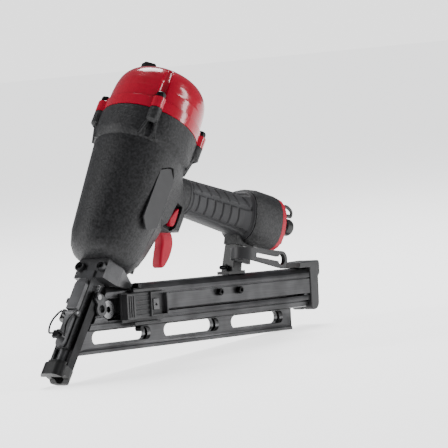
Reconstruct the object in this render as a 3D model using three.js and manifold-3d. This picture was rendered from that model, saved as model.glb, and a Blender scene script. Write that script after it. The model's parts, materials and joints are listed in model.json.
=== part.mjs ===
// A pneumatic angled finish nailer, built from its separate pieces.
// Millimetres, +Z up. The tool stands on its nose tip and on the heel of its magazine.
//
// Three frames share one design:
//   drive frame      x = u, towards the handle; y = v, towards the tool's right; z = w, up the drive axis
//   handle frame     x = s, along the grip;      z = b, square to it
//   magazine frame   x = m, along the magazine;  z = p, square to it, towards the handle
// The drive frame's origin is the point of the drive axis level with the end of the nose tip.

import * as THREE from 'three';
import { mergeVertices } from 'three/addons/utils/BufferGeometryUtils.js';
import Module from 'manifold-3d';

const wasm = await Module();
wasm.setup();

// ---------------------------------------------------------------- driving sizes

const restGap = 0.3;             // between pieces that rest on each other
const runningGap = 0.4;          // round a piece that moves

const handleAngle = 20;          // degrees between the grip and a plane square to the drive axis
const magazineAngle = 34;        // degrees between the magazine and the same plane

const rimHeight = 272;           // where the cap meets the casting
const rimRadius = 48.5;
const collarDepth = 28;          // height of the wider collar below the rim
const bodyFoot = 126;            // underside of the casting, above the nose casting
const boreRadius = 33;           // air space round the cylinder sleeve
const sleeveFoot = 158;
const sleeveInner = 25;
const sleeveWall = 3;
const sleeveTop = 254;
const sleeveOuter = sleeveInner + sleeveWall;
const bladeWidth = 6.5;
const bladeThickness = 3;
const driveStroke = 66;          // travel of the piston

const capHeight = 55;            // cap above the rim
const capWall = 5;
const screwCircle = 48.5;        // radius of the four cap screws
const screwHeadRadius = 4.7;
const screwShankRadius = 2.5;
const bossRadius = 6.3;
const bossDepth = 12;            // casting boss below the rim
const fluteRadius = 5.6;         // cap flutes above the screws, at their foot
const fluteTip = 3.6;
const bossFlange = 11;           // cap flange under each screw head

const housingReach = 72.5;       // rear face of the trigger housing from the drive axis
const housingHalfWidth = 17;
const webHalfWidth = 12;

const gripStart = -9;            // along the handle axis
const gripEnd = 88;
const gripFlare = 5.5;           // rise of the grip over its last stretch
const gripFlareLength = 12;
const gripThickness = 2.6;
const handleEnd = 128;           // face that carries the end cap
const handleEndHalfHeight = 29;
const handleEndHalfWidth = 25.5;
const endCapThickness = 15;
const airPassageRadius = 11;
const plugOffset = 4;            // air plug above the handle axis
const plugThreadRadius = 6.2;
const plugBore = 3.4;

const pivotU = 53;               // trigger and selector pivot
const pivotW = 202;
const pivotPinRadius = 2;
const triggerHalfWidth = 5.8;

const noseHalfWidth = 7;
const noseFront = -9;            // front face of the driver guide
const noseBack = 9;
const noseFoot = 9.5;              // end of the nose tube, inside the tip
const coverFoot = 68;
const coverTop = 101;
const coverThickness = 5;
const doorFoot = 31;
const tipHeight = 16;
const tipHalfWidth = 13;
const tipFront = -13;
const tipBack = 10;
const contactTravel = 8;         // work contact stroke

const magazineFront = 33;
const heelEnd = 355;             // rear end of the thin lower web
const magazineEnd = 382;         // rear end of the upper body
const magazineFoot = 20;
const magazineTop = 81.5;
const magazineHalfWidth = 12;
const webThickness = 12;
const slotLength = 85;
const slotHeight = 12.6;
const slotPitch = 104.5;
const firstSlot = 47;
const slotFoot = 28;
const headChannelWidth = 7;      // room for nail heads
const shankChannelWidth = 3;     // room for nail shanks
const headFoot = 68;
const headTop = 75;

const pusherLength = 61;
const pusherStart = 81;
const pusherPocket = 25;         // length of the pocket round the pusher's catch

const hookWidth = 4.5;
const hookAngle = -10;           // degrees of the belt hook against the magazine

// ---------------------------------------------------------------- colours

const finishes = {
  red: { color: 0xb81c26, roughness: 0.25, metalness: 0.0 },
  satinRed: { color: 0xc0303c, roughness: 0.5, metalness: 0.0 },
  casting: { color: 0x2b2b2c, roughness: 0.75, metalness: 0.3 },
  nose: { color: 0x4a4b4c, roughness: 0.5, metalness: 0.7 },
  coverGrey: { color: 0x97989a, roughness: 0.55, metalness: 0.6 },
  extrusion: { color: 0x5c5d5f, roughness: 0.45, metalness: 0.7 },
  rubber: { color: 0x55565a, roughness: 0.8, metalness: 0.0 },
  darkRubber: { color: 0x222224, roughness: 0.8, metalness: 0.0 },
  plastic: { color: 0x77787b, roughness: 0.5, metalness: 0.0 },
  blackPlastic: { color: 0x161617, roughness: 0.5, metalness: 0.0 },
  steel: { color: 0xb8bbbf, roughness: 0.3, metalness: 1.0 },
  chrome: { color: 0xe4e6e8, roughness: 0.12, metalness: 1.0 },
  blackSteel: { color: 0x1c1c1e, roughness: 0.4, metalness: 0.8 },
};

// ---------------------------------------------------------------- solids

const degree = Math.PI / 180;

function signedVolume(position, index) {
  const a = new THREE.Vector3();
  const b = new THREE.Vector3();
  const c = new THREE.Vector3();
  let sum = 0;
  for (let i = 0; i < index.count; i += 3) {
    a.fromBufferAttribute(position, index.getX(i));
    b.fromBufferAttribute(position, index.getX(i + 1));
    c.fromBufferAttribute(position, index.getX(i + 2));
    sum += a.dot(b.cross(c));
  }
  return sum / 6;
}

// A closed geometry as a solid, with its faces turned outwards.
function solid(geometry) {
  const bare = geometry.index ? geometry.toNonIndexed() : geometry.clone();
  bare.deleteAttribute('normal');
  bare.deleteAttribute('uv');
  const welded = mergeVertices(bare, 1e-4);
  const position = welded.attributes.position;
  const inverted = signedVolume(position, welded.index) < 0;
  const triVerts = [];
  for (let i = 0; i < welded.index.count; i += 3) {
    const [a, b, c] = [0, 1, 2].map((k) => welded.index.getX(i + k));
    if (a === b || b === c || c === a) continue;
    triVerts.push(a, inverted ? c : b, inverted ? b : c);
  }
  return new wasm.Manifold(new wasm.Mesh({
    numProp: 3,
    vertProperties: new Float32Array(position.array),
    triVerts: new Uint32Array(triVerts),
  }));
}

function geometryOf(manifold) {
  const mesh = manifold.getMesh();
  const geometry = new THREE.BufferGeometry();
  const count = mesh.vertProperties.length / mesh.numProp;
  const xyz = new Float32Array(count * 3);
  for (let i = 0; i < count; i += 1) {
    for (let k = 0; k < 3; k += 1) xyz[i * 3 + k] = mesh.vertProperties[i * mesh.numProp + k];
  }
  geometry.setAttribute('position', new THREE.BufferAttribute(xyz, 3));
  geometry.setIndex([...mesh.triVerts]);
  geometry.computeVertexNormals();
  return geometry;
}

const join = (...solids) => solids.reduce((whole, next) => whole.add(next));
const cut = (whole, ...tools) => tools.reduce((rest, tool) => rest.subtract(tool), whole);

function shapeOf(points) {
  return new THREE.Shape(points.map(([x, y]) => new THREE.Vector2(x, y)));
}

function extruded(shape, depth, curveSegments = 8) {
  return new THREE.ExtrudeGeometry(shape, { depth, bevelEnabled: false, curveSegments });
}

// An outline in the x-z plane, from y = low to y = high.
function sideSolid(outline, low, high, curveSegments) {
  const shape = Array.isArray(outline) ? shapeOf(outline) : outline;
  return solid(extruded(shape, high - low, curveSegments).rotateX(Math.PI / 2).translate(0, high, 0));
}

// An outline in the x-y plane, from z = low to z = high.
function planSolid(outline, low, high, curveSegments) {
  const shape = Array.isArray(outline) ? shapeOf(outline) : outline;
  return solid(extruded(shape, high - low, curveSegments).translate(0, 0, low));
}

// An outline in the y-z plane, from x = low to x = high.
function sectionSolid(outline, low, high, curveSegments) {
  const shape = Array.isArray(outline) ? shapeOf(outline) : outline;
  const axes = new THREE.Matrix4().makeBasis(
    new THREE.Vector3(0, 1, 0),
    new THREE.Vector3(0, 0, 1),
    new THREE.Vector3(1, 0, 0),
  );
  return solid(extruded(shape, high - low, curveSegments).applyMatrix4(axes).translate(low, 0, 0));
}

function boxSolid(x, y, z) {
  const geometry = new THREE.BoxGeometry(x[1] - x[0], y[1] - y[0], z[1] - z[0]);
  geometry.translate((x[0] + x[1]) / 2, (y[0] + y[1]) / 2, (z[0] + z[1]) / 2);
  return solid(geometry);
}

// A profile of [radius, height] points turned about z.
function turned(profile, segments = 32) {
  const points = profile.map(([r, h]) => new THREE.Vector2(r, h));
  return solid(new THREE.LatheGeometry(points, segments).rotateX(Math.PI / 2));
}

function aim(geometry, from, direction) {
  const turn = new THREE.Quaternion().setFromUnitVectors(new THREE.Vector3(0, 0, 1), direction);
  geometry.applyQuaternion(turn);
  geometry.translate(from.x, from.y, from.z);
  return geometry;
}

// A profile of [radius, distance] points turned about the line through start along direction.
function turnedAlong(profile, start, direction, segments = 20) {
  const points = profile.map(([r, h]) => new THREE.Vector2(r, h));
  const lathe = new THREE.LatheGeometry(points, segments).rotateX(Math.PI / 2);
  return solid(aim(lathe, new THREE.Vector3(...start), new THREE.Vector3(...direction).normalize()));
}

function rod(radius, start, end, segments = 20) {
  const a = new THREE.Vector3(...start);
  const b = new THREE.Vector3(...end);
  const profile = [[0, 0], [radius, 0], [radius, a.distanceTo(b)], [0, a.distanceTo(b)]];
  return turnedAlong(profile, start, b.sub(a).toArray(), segments);
}

// A straight taper with a rounded far end.
function cone(startRadius, endRadius, start, end, segments = 12) {
  const length = new THREE.Vector3(...start).distanceTo(new THREE.Vector3(...end));
  const profile = [[0, 0], [startRadius, 0], [endRadius, length], [endRadius * 0.8, length + endRadius * 0.6],
    [0, length + endRadius]];
  return turnedAlong(profile, start, new THREE.Vector3(...end).sub(new THREE.Vector3(...start)).toArray(), segments);
}

const ring = (inner, outer, low, high) => [
  [inner, low], [outer, low], [outer, high], [inner, high], [inner, low],
];

// A closed skin over rings with the same number of points, lowest ring first.
function loft(rings) {
  const count = rings[0].length;
  const vertices = rings.flat();
  const faces = [];
  const at = (level, i) => level * count + (i % count);
  for (let level = 0; level + 1 < rings.length; level += 1) {
    for (let i = 0; i < count; i += 1) {
      faces.push(at(level, i), at(level, i + 1), at(level + 1, i + 1));
      faces.push(at(level, i), at(level + 1, i + 1), at(level + 1, i));
    }
  }
  for (const level of [0, rings.length - 1]) {
    const centre = new THREE.Vector3();
    rings[level].forEach((point) => centre.addScaledVector(point, 1 / count));
    vertices.push(centre);
    for (let i = 0; i < count; i += 1) {
      const edge = [at(level, i), at(level, i + 1)];
      faces.push(vertices.length - 1, ...(level === 0 ? edge.reverse() : edge));
    }
  }
  const geometry = new THREE.BufferGeometry();
  geometry.setAttribute('position', new THREE.Float32BufferAttribute(vertices.flatMap((p) => p.toArray()), 3));
  geometry.setIndex(faces);
  return geometry;
}

// A tube along a path: a round or rectangular section swept by ExtrudeGeometry.
function swept(points, section, steps, closedCurve = false) {
  const path = new THREE.CatmullRomCurve3(points.map((p) => new THREE.Vector3(...p)), closedCurve);
  return solid(new THREE.ExtrudeGeometry(section, { steps, bevelEnabled: false, extrudePath: path }));
}

function roundSection(radius, sides = 8) {
  const points = [];
  for (let i = 0; i < sides; i += 1) {
    const angle = (i / sides) * 2 * Math.PI;
    points.push([radius * Math.cos(angle), radius * Math.sin(angle)]);
  }
  return shapeOf(points);
}

function roundedBox(x0, y0, x1, y1, radius) {
  const shape = new THREE.Shape();
  shape.moveTo(x0 + radius, y0);
  shape.lineTo(x1 - radius, y0);
  shape.absarc(x1 - radius, y0 + radius, radius, -Math.PI / 2, 0, false);
  shape.lineTo(x1, y1 - radius);
  shape.absarc(x1 - radius, y1 - radius, radius, 0, Math.PI / 2, false);
  shape.lineTo(x0 + radius, y1);
  shape.absarc(x0 + radius, y1 - radius, radius, Math.PI / 2, Math.PI, false);
  shape.lineTo(x0, y0 + radius);
  shape.absarc(x0 + radius, y0 + radius, radius, Math.PI, 1.5 * Math.PI, false);
  return shape;
}

// The value of an outline of [value, height] points at a height.
function outlineAt(outline, height) {
  const above = outline.findIndex(([, h]) => h >= height);
  if (above <= 0) return outline[above === 0 ? 0 : outline.length - 1][0];
  const [[v0, h0], [v1, h1]] = [outline[above - 1], outline[above]];
  return v0 + ((v1 - v0) * (height - h0)) / (h1 - h0);
}

// ---------------------------------------------------------------- groups

const tool = new THREE.Group();
const handle = new THREE.Group();
const magazine = new THREE.Group();
tool.add(handle, magazine);
handle.rotation.y = -handleAngle * degree;
magazine.rotation.y = -magazineAngle * degree;

const handleStart = new THREE.Vector3(76, 0, 244.6);
handle.position.copy(handleStart);
handle.updateMatrix();
magazine.updateMatrix();

// A solid made in a turned frame, carried into the drive frame, and back.
const moved = (manifold, matrix) => solid(geometryOf(manifold).applyMatrix4(matrix));
const fromHandle = (manifold) => moved(manifold, handle.matrix);
const toMagazine = (manifold) => moved(manifold, magazine.matrix.clone().invert());

function place(group, name, manifold, finish) {
  const mesh = new THREE.Mesh(geometryOf(manifold), new THREE.MeshStandardMaterial(finishes[finish]));
  mesh.name = name;
  group.add(mesh);
  return mesh;
}

const aroundAxis = (radius, angle, height) => [
  radius * Math.cos(angle * degree),
  radius * Math.sin(angle * degree),
  height,
];

// The four cap screws stand on the diagonals.
const screwAngles = [45, 135, 225, 315];
const screwPlaces = screwAngles.map((angle) => aroundAxis(screwCircle, angle, 0).slice(0, 2));

// ---------------------------------------------------------------- body casting

const barrelOutline = [
  [22, bodyFoot],
  [28, bodyFoot + 3],
  [32, bodyFoot + 9],
  [35.5, bodyFoot + 22],
  [38.3, bodyFoot + 46],
  [41.2, bodyFoot + 78],
  [44.6, rimHeight - collarDepth - 4],
  [44.9, rimHeight - collarDepth + 4],
];
const reachOutline = [
  [30, bodyFoot],
  [36, bodyFoot + 9],
  [42, bodyFoot + 20],
  [47, bodyFoot + 34],
  [49, bodyFoot + 62],
  [housingReach, bodyFoot + 76],
  [housingReach, bodyFoot + 90],
  [housingReach - 5, bodyFoot + 104],
  [housingReach - 17, bodyFoot + 117],
  [46, bodyFoot + 124],
];
const flankOutline = [
  [webHalfWidth - 3, bodyFoot],
  [webHalfWidth, bodyFoot + 20],
  [webHalfWidth, bodyFoot + 34],
  [housingHalfWidth, bodyFoot + 62],
  [housingHalfWidth, bodyFoot + 124],
];

// One level of the casting: a round barrel with flanks running back to the housing.
function bodyRing(height) {
  const radius = outlineAt(barrelOutline, height);
  const half = Math.min(outlineAt(flankOutline, height), radius * 0.6);
  const edge = 4;
  const reach = Math.max(outlineAt(reachOutline, height), Math.sqrt(radius ** 2 - (half - edge) ** 2) + 0.5);
  const shoulder = 52 * degree;
  const points = [];
  const arcSteps = 22;
  for (let i = 0; i <= arcSteps; i += 1) {
    const angle = shoulder + (i / arcSteps) * (2 * Math.PI - 2 * shoulder);
    points.push(new THREE.Vector3(radius * Math.cos(angle), radius * Math.sin(angle), height));
  }
  const flank = [[reach - edge, -half], [reach, edge - half], [reach, half - edge], [reach - edge, half]];
  flank.forEach(([x, y]) => points.push(new THREE.Vector3(x, y, height)));
  return points;
}

// One station of the handle: a rounded section square to the handle axis.
function handleRing(along, halfHeight, halfWidth, lift = 0) {
  const points = [];
  const count = 20;
  const squareness = 2.5;
  for (let i = 0; i < count; i += 1) {
    const angle = (i / count) * 2 * Math.PI;
    const c = Math.cos(angle);
    const s = Math.sin(angle);
    const y = Math.sign(c) * Math.abs(c) ** (2 / squareness) * halfWidth;
    const z = Math.sign(s) * Math.abs(s) ** (2 / squareness) * halfHeight;
    points.push(new THREE.Vector3(along, y, z + lift));
  }
  return points;
}

// Half height and half width of the grip at a place along the handle.
const gripHalfHeight = (along) => 18 + 3.2 * Math.min(1, Math.max(0, along / gripEnd));
const gripHalfWidth = (along) => 16.5 + 1 * Math.min(1, Math.max(0, along / gripEnd));
const gripRing = (along, rise) => handleRing(along, gripHalfHeight(along) + rise, gripHalfWidth(along) + rise);

function handleCore() {
  const core = gripThickness + restGap;
  const neck = loft([
    handleRing(-30, gripHalfHeight(0), gripHalfWidth(0)),
    handleRing(gripStart - restGap, gripHalfHeight(0), gripHalfWidth(0)),
  ]);
  const stations = [
    handleRing(gripStart - 4, gripHalfHeight(0) - core, gripHalfWidth(0) - core),
    handleRing(gripEnd + 4, gripHalfHeight(gripEnd) - core, gripHalfWidth(gripEnd) - core),
  ];
  return join(solid(neck), solid(loft(stations)));
}

function handleFlare() {
  const start = gripEnd + restGap;
  const stations = [
    gripRing(start, gripFlare),
    handleRing(start + 5, handleEndHalfHeight - 0.8, handleEndHalfWidth - 0.8),
    handleRing(start + 11, handleEndHalfHeight, handleEndHalfWidth),
    handleRing(handleEnd, handleEndHalfHeight, handleEndHalfWidth),
  ];
  return solid(loft(stations));
}

const strutAlong = 87;           // bracket pad under the handle, along the handle axis
const strutHalf = 7.5;
const padFoot = -30.5;            // underside of the pad, below the handle axis
const padHalf = strutHalf + 0.5;

function bodyCasting() {
  const levels = [...new Set([...barrelOutline, ...reachOutline, ...flankOutline].map(([, h]) => h))];
  levels.sort((a, b) => a - b);
  const shell = solid(loft(levels.map(bodyRing)));
  const collarFoot = rimHeight - collarDepth;
  const collar = turned([
    [0, collarFoot - 3],
    [44, collarFoot - 3],
    [47, collarFoot + 1],
    [rimRadius, collarFoot + 6],
    [rimRadius, rimHeight],
    [0, rimHeight],
  ], 32);
  const bosses = screwPlaces.map(([x, y]) => turned([
    [0, rimHeight - bossDepth - 3],
    [bossRadius - 3, rimHeight - bossDepth - 3],
    [bossRadius, rimHeight - bossDepth],
    [bossRadius, rimHeight],
    [0, rimHeight],
  ], 12).translate([x, y, 0]));
  const ridges = screwAngles.flatMap((angle) => [-1, 1].map((s) => rod(
    1.6,
    aroundAxis(rimRadius + 1, angle + 4 * s, rimHeight - bossDepth),
    aroundAxis(rimRadius - 2, angle + 10 * s, collarFoot),
    8,
  )));
  const hollows = screwAngles.map((angle) => rod(
    4.5,
    aroundAxis(rimRadius + 2.5, angle, rimHeight - bossDepth - 4),
    aroundAxis(rimRadius + 1, angle, collarFoot - 1),
    10,
  ));
  const pad = fromHandle(boxSolid([strutAlong - strutHalf - 1, strutAlong + 20], [-padHalf, padHalf], [padFoot, -12]));
  const outside = join(cut(collar, ...hollows), shell, ...bosses, ...ridges, fromHandle(handleCore()), fromHandle(handleFlare()), pad);

  const bore = turned([
    [0, sleeveFoot - 14],
    [22, sleeveFoot - 14],
    [sleeveOuter + restGap, sleeveFoot - restGap],
    [boreRadius, sleeveFoot + 30],
    [boreRadius, rimHeight - 14],
    [boreRadius + 6, rimHeight - 10],
    [boreRadius + 6, rimHeight + 1],
    [0, rimHeight + 1],
  ], 24);
  const bladeHole = rod(6, [0, 0, bodyFoot - 5], [0, 0, sleeveFoot], 16);
  const screwHoles = screwPlaces.map(([x, y]) => (
    rod(screwShankRadius + restGap, [x, y, rimHeight - 20], [x, y, rimHeight + 1], 12)
  ));
  const airPassage = fromHandle(rod(airPassageRadius, [-50, 0, 0], [handleEnd + 1, 0, 0], 20));
  const valveBore = rod(valveRadius + restGap, [valveU, 0, 180], [valveU, 0, valveTop + 8], 20);
  const triggerSlot = sideSolid([
    [pivotU - 8, pivotW - 14],
    [pivotU - 8, pivotW + 9],
    [housingReach + 5, pivotW + 9],
    [housingReach + 5, pivotW - 40],
    [pivotU + 4, pivotW - 40],
  ], -triggerHalfWidth - 1, triggerHalfWidth + 1);
  const pivotHole = rod(pivotPinRadius + restGap, [pivotU, -30, pivotW], [pivotU, 30, pivotW], 16);
  const selectorPocket = sideSolid(selectorWindow(0), -40, -selectorFace);
  const badgePocket = badgeSolid(restGap, badgeFace - badgeThickness - restGap, 60);
  const rodBore = rod(tripRodRadius + runningGap, [tripRodU, 0, 120], [tripRodU, 0, pivotW - 8], 16);
  const endScrewHoles = endScrewPlaces.map(([y, z]) => fromHandle(
    rod(1.8 + restGap, [handleEnd - 12, y, z], [handleEnd + 1, y, z], 12),
  ));
  return cut(
    outside, bore, bladeHole, ...screwHoles, airPassage, valveBore, triggerSlot, pivotHole, selectorPocket,
    badgePocket, rodBore, ...endScrewHoles,
  );
}

// ---------------------------------------------------------------- places shared with the casting

const valveU = 66.5;
const valveRadius = 5.5;
const valveTop = pivotW + 30;
const tripRodU = 44.5;
const tripRodRadius = 1.8;
const noseScrewSides = [-13, 13];
const endScrewPlaces = [[-16, 17], [16, 17], [-16, -17], [16, -17]];
const selectorFace = 13.5;       // depth of the selector pocket's floor from the middle plane
const badgeFace = 41.5;
const badgeThickness = 2;

function selectorWindow(shrink) {
  return [
    [pivotU - 13 + shrink, pivotW - 13 + shrink],
    [pivotU + 5.8 - shrink, pivotW - 7 + shrink],
    [pivotU + 5.8 - shrink, pivotW + 20 - shrink],
    [pivotU - 9 + shrink, pivotW + 15.6 - shrink],
  ];
}

// The long eight-sided badge on the barrel's left side.
function badgeSolid(grow, near, far) {
  const middleU = 3.5;
  const middleW = 196;
  const halfU = 11.5 + grow;
  const halfW = 35 + grow;
  const corner = 9;
  const outline = [
    [middleU - halfU + corner, middleW - halfW],
    [middleU + halfU - corner, middleW - halfW + 2],
    [middleU + halfU, middleW - halfW + corner],
    [middleU + halfU, middleW + halfW - corner],
    [middleU + halfU - corner, middleW + halfW],
    [middleU - halfU + corner, middleW + halfW - 2],
    [middleU - halfU, middleW + halfW - corner],
    [middleU - halfU, middleW - halfW + corner],
  ];
  return sideSolid(outline, -far, -near);
}

place(tool, 'body_casting', bodyCasting(), 'casting');
place(tool, 'badge_plate', badgeSolid(-restGap, badgeFace - badgeThickness, badgeFace), 'plastic');

// ---------------------------------------------------------------- cap and exhaust

const gasketThickness = 1.2;
const capFoot = rimHeight + gasketThickness;
const capWaist = rimRadius - 2;
const capInside = screwCircle - screwHeadRadius - capWall;
const portCircle = 7.8;          // three exhaust ports round the deflector's screw
const portRadius = 2.5;
const deflectorShank = 1.3;
const deflectorSeat = 3.2;       // seat of the screw's head above the deflector's foot
const hoodHeight = 11.5;
const deflectorTurn = 55;        // degrees from pointing forward
const capPost = 11.5;
const capRoof = 6;

function cap() {
  const shell = turned([
    [0, 0],
    [rimRadius, 0],
    [rimRadius, bossFlange],
    [capWaist, bossFlange + 1.5],
    [capWaist - 0.5, capHeight * 0.45],
    [capWaist - 2, capHeight * 0.63],
    [capWaist - 4.2, capHeight * 0.78],
    [capWaist - 8.5, capHeight * 0.89],
    [capWaist - 15, capHeight * 0.96],
    [capWaist - 24, capHeight],
    [0, capHeight],
  ], 36);
  const bosses = screwPlaces.map(([x, y]) => rod(bossRadius, [x, y, 0], [x, y, bossFlange], 10));
  const flutes = screwAngles.flatMap((angle) => {
    const foot = aroundAxis(screwCircle + 0.6, angle, bossFlange);
    const knee = aroundAxis(rimRadius - 1.5, angle, capHeight * 0.62);
    const top = aroundAxis(rimRadius - 8, angle, capHeight * 0.86);
    return [cone(fluteRadius, fluteRadius - 0.6, foot, knee), cone(fluteRadius - 0.6, fluteTip, knee, top)];
  });
  const chamber = turned([
    [capPost, -1],
    [capInside, -1],
    [capInside, capHeight * 0.45],
    [capInside - 4, capHeight - capRoof - 10],
    [capInside - 14, capHeight - capRoof],
    [capPost, capHeight - capRoof],
    [capPost, -1],
  ], 24);
  const postTrim = rod(capPost + 1, [0, 0, -1], [0, 0, 8], 24);
  const ports = [60, 180, 300].map((angle) => (
    rod(portRadius, aroundAxis(portCircle, angle, -1), aroundAxis(portCircle, angle, capHeight + 1), 12)
  ));
  const pockets = screwPlaces.map(([x, y]) => rod(screwHeadRadius + 0.5, [x, y, bossFlange], [x, y, 24], 10));
  const holes = screwPlaces.map(([x, y]) => (
    rod(screwShankRadius + restGap, [x, y, -1], [x, y, bossFlange + 1], 12)
  ));
  const tappedHole = rod(deflectorShank + restGap, [0, 0, capHeight - 13], [0, 0, capHeight + 1], 10);
  const whole = cut(join(shell, ...bosses), ...flutes, chamber, postTrim, ...ports, ...pockets, ...holes);
  return cut(whole, tappedHole).translate([0, 0, capFoot]);
}

function capGasket() {
  const sheet = turned([[0, restGap], [rimRadius - 0.3, restGap], [rimRadius - 0.3, gasketThickness - restGap],
    [0, gasketThickness - restGap]], 28);
  const ears = screwPlaces.map(([x, y]) => (
    rod(bossRadius - 0.3, [x, y, restGap], [x, y, gasketThickness - restGap], 16)
  ));
  const hole = rod(boreRadius + 8, [0, 0, -1], [0, 0, 3], 24);
  const holes = screwPlaces.map(([x, y]) => rod(screwShankRadius + restGap, [x, y, -1], [x, y, 3], 10));
  return cut(join(sheet, ...ears), hole, ...holes).translate([0, 0, rimHeight]);
}

// A socket head cap screw with its head's seat at z = 0 and its shank below.
function socketScrew(headRadius, headHeight, shankRadius, shankLength, segments = 10) {
  const body = turned([
    [0, -shankLength],
    [shankRadius, -shankLength],
    [shankRadius, 0],
    [headRadius, 0],
    [headRadius, headHeight * 0.85],
    [headRadius * 0.9, headHeight],
    [0, headHeight],
  ], segments);
  return cut(body, rod(headRadius * 0.52, [0, 0, headHeight * 0.45], [0, 0, headHeight + 1], 6));
}

function exhaustDeflector() {
  const plate = turned([[0, 0], [22, 0], [22, 2], [20, 3.2], [0, 3.2]], 28);
  const plan = [[-28, -8], [-24, -10], [-12, -10], [-9, -7], [-9, 7], [-12, 10], [-24, 10], [-28, 8]];
  const side = [[-28, 0], [-28, hoodHeight - 2.5], [-25, hoodHeight], [-15, hoodHeight], [-9, 3.5], [-9, 0]];
  const hood = planSolid(plan, 0, hoodHeight).intersect(sideSolid(side, -12, 12));
  const throat = boxSolid([-30, -13], [-6.5, 6.5], [1.4, hoodHeight - 2.5]);
  const recess = turned(ring(5.2, 10.8, -1, 1.8), 20);
  const channel = boxSolid([-14, -8], [-4, 4], [-1, 1.8]);
  const screwHole = rod(deflectorShank + runningGap, [0, 0, -1], [0, 0, 12], 10);
  const whole = cut(join(plate, hood), throat, recess, channel, screwHole);
  return whole.rotate([0, 0, -deflectorTurn]).translate([0, 0, capFoot + capHeight + restGap]);
}

// ---------------------------------------------------------------- drive unit

function cylinderSleeve() {
  return turned([
    [sleeveInner, sleeveFoot],
    [sleeveOuter, sleeveFoot],
    [sleeveOuter, sleeveTop - 34],
    [boreRadius - restGap, sleeveTop - 32],
    [boreRadius - restGap, sleeveTop - 26],
    [sleeveOuter, sleeveTop - 24],
    [sleeveOuter, sleeveTop],
    [sleeveInner, sleeveTop],
    [sleeveInner, sleeveFoot],
  ], 24);
}

const pistonTop = sleeveTop - 6;
const pistonHeight = 13;
const bumperTop = pistonTop - pistonHeight - driveStroke;

function pistonDriver() {
  const groove = sleeveInner - 3.2;
  const rim = sleeveInner - runningGap;
  const head = turned([
    [0, pistonTop - pistonHeight],
    [rim - 2, pistonTop - pistonHeight],
    [rim, pistonTop - pistonHeight + 2],
    [rim, pistonTop - 8],
    [groove, pistonTop - 8],
    [groove, pistonTop - 4],
    [rim, pistonTop - 4],
    [rim, pistonTop],
    [0, pistonTop],
  ], 24);
  const halves = [bladeWidth / 2, bladeThickness / 2];
  const blade = boxSolid([-halves[1], halves[1]], [-halves[0], halves[0]], [bladeFoot, pistonTop - pistonHeight + 1]);
  return join(head, blade);
}

const bladeFoot = 97;
const pistonRing = () => turned(ring(
  sleeveInner - 3.2 + restGap, sleeveInner - 0.1, pistonTop - 8 + restGap, pistonTop - 4 - restGap,
), 24);
const bumper = () => turned(ring(8, 21, sleeveFoot - 14 + restGap, bumperTop - restGap), 20);

const headValveFoot = sleeveTop + restGap;
function headValve() {
  return turned([
    [capPost + runningGap, headValveFoot + 22],
    [capPost + runningGap, headValveFoot + 8],
    [sleeveInner - 4, headValveFoot],
    [boreRadius - 1, headValveFoot],
    [boreRadius - 1, headValveFoot + 6],
    [capPost + 6, headValveFoot + 10],
    [capPost + 6, headValveFoot + 22],
    [capPost + runningGap, headValveFoot + 22],
  ], 24);
}
const headValveSpring = () => turned(ring(
  capPost + 6 + runningGap, capPost + 10, headValveFoot + 10 + restGap, capFoot + capHeight - capRoof - 6,
), 16);

place(tool, 'cap', cap(), 'red');
place(tool, 'cap_gasket', capGasket(), 'darkRubber');
screwPlaces.forEach(([x, y], i) => {
  const screw = socketScrew(screwHeadRadius, 6, screwShankRadius, 26);
  const seat = capFoot + bossFlange + restGap;
  place(tool, `cap_screw_${i + 1}`, screw.translate([x, y, seat]), 'blackSteel');
});
place(tool, 'exhaust_deflector', exhaustDeflector(), 'blackPlastic');
const deflectorScrew = socketScrew(3, 2.6, deflectorShank, 16);
const deflectorScrewSeat = capFoot + capHeight + deflectorSeat + 2 * restGap;
place(tool, 'deflector_screw', deflectorScrew.translate([0, 0, deflectorScrewSeat]), 'blackSteel');
place(tool, 'cylinder_sleeve', cylinderSleeve(), 'steel');
place(tool, 'piston_driver', pistonDriver(), 'steel');
place(tool, 'piston_ring', pistonRing(), 'darkRubber');
place(tool, 'bumper', bumper(), 'darkRubber');
place(tool, 'head_valve', headValve(), 'blackPlastic');
place(tool, 'head_valve_spring', headValveSpring(), 'steel');

// ---------------------------------------------------------------- grip and air inlet

function gripSleeve() {
  const inner = gripThickness;
  const outside = solid(loft([
    gripRing(gripStart, 0),
    gripRing(gripEnd - gripFlareLength, 0),
    gripRing(gripEnd - gripFlareLength * 0.4, gripFlare * 0.35),
    gripRing(gripEnd, gripFlare),
  ]));
  const hollow = solid(loft([gripStart - 6, gripEnd + 6].map((s) => (
    handleRing(s, gripHalfHeight(s) - inner, gripHalfWidth(s) - inner)
  ))));
  const notchHalf = padHalf + restGap;
  const padNotch = boxSolid([strutAlong - strutHalf - 1 - restGap, gripEnd + 1], [-notchHalf, notchHalf], [-60, -10]);
  return cut(outside, hollow, padNotch);
}

const capFace = handleEnd + restGap;
const plugStart = capFace + endCapThickness - 5;
const plugHex = 8.5;

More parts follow.
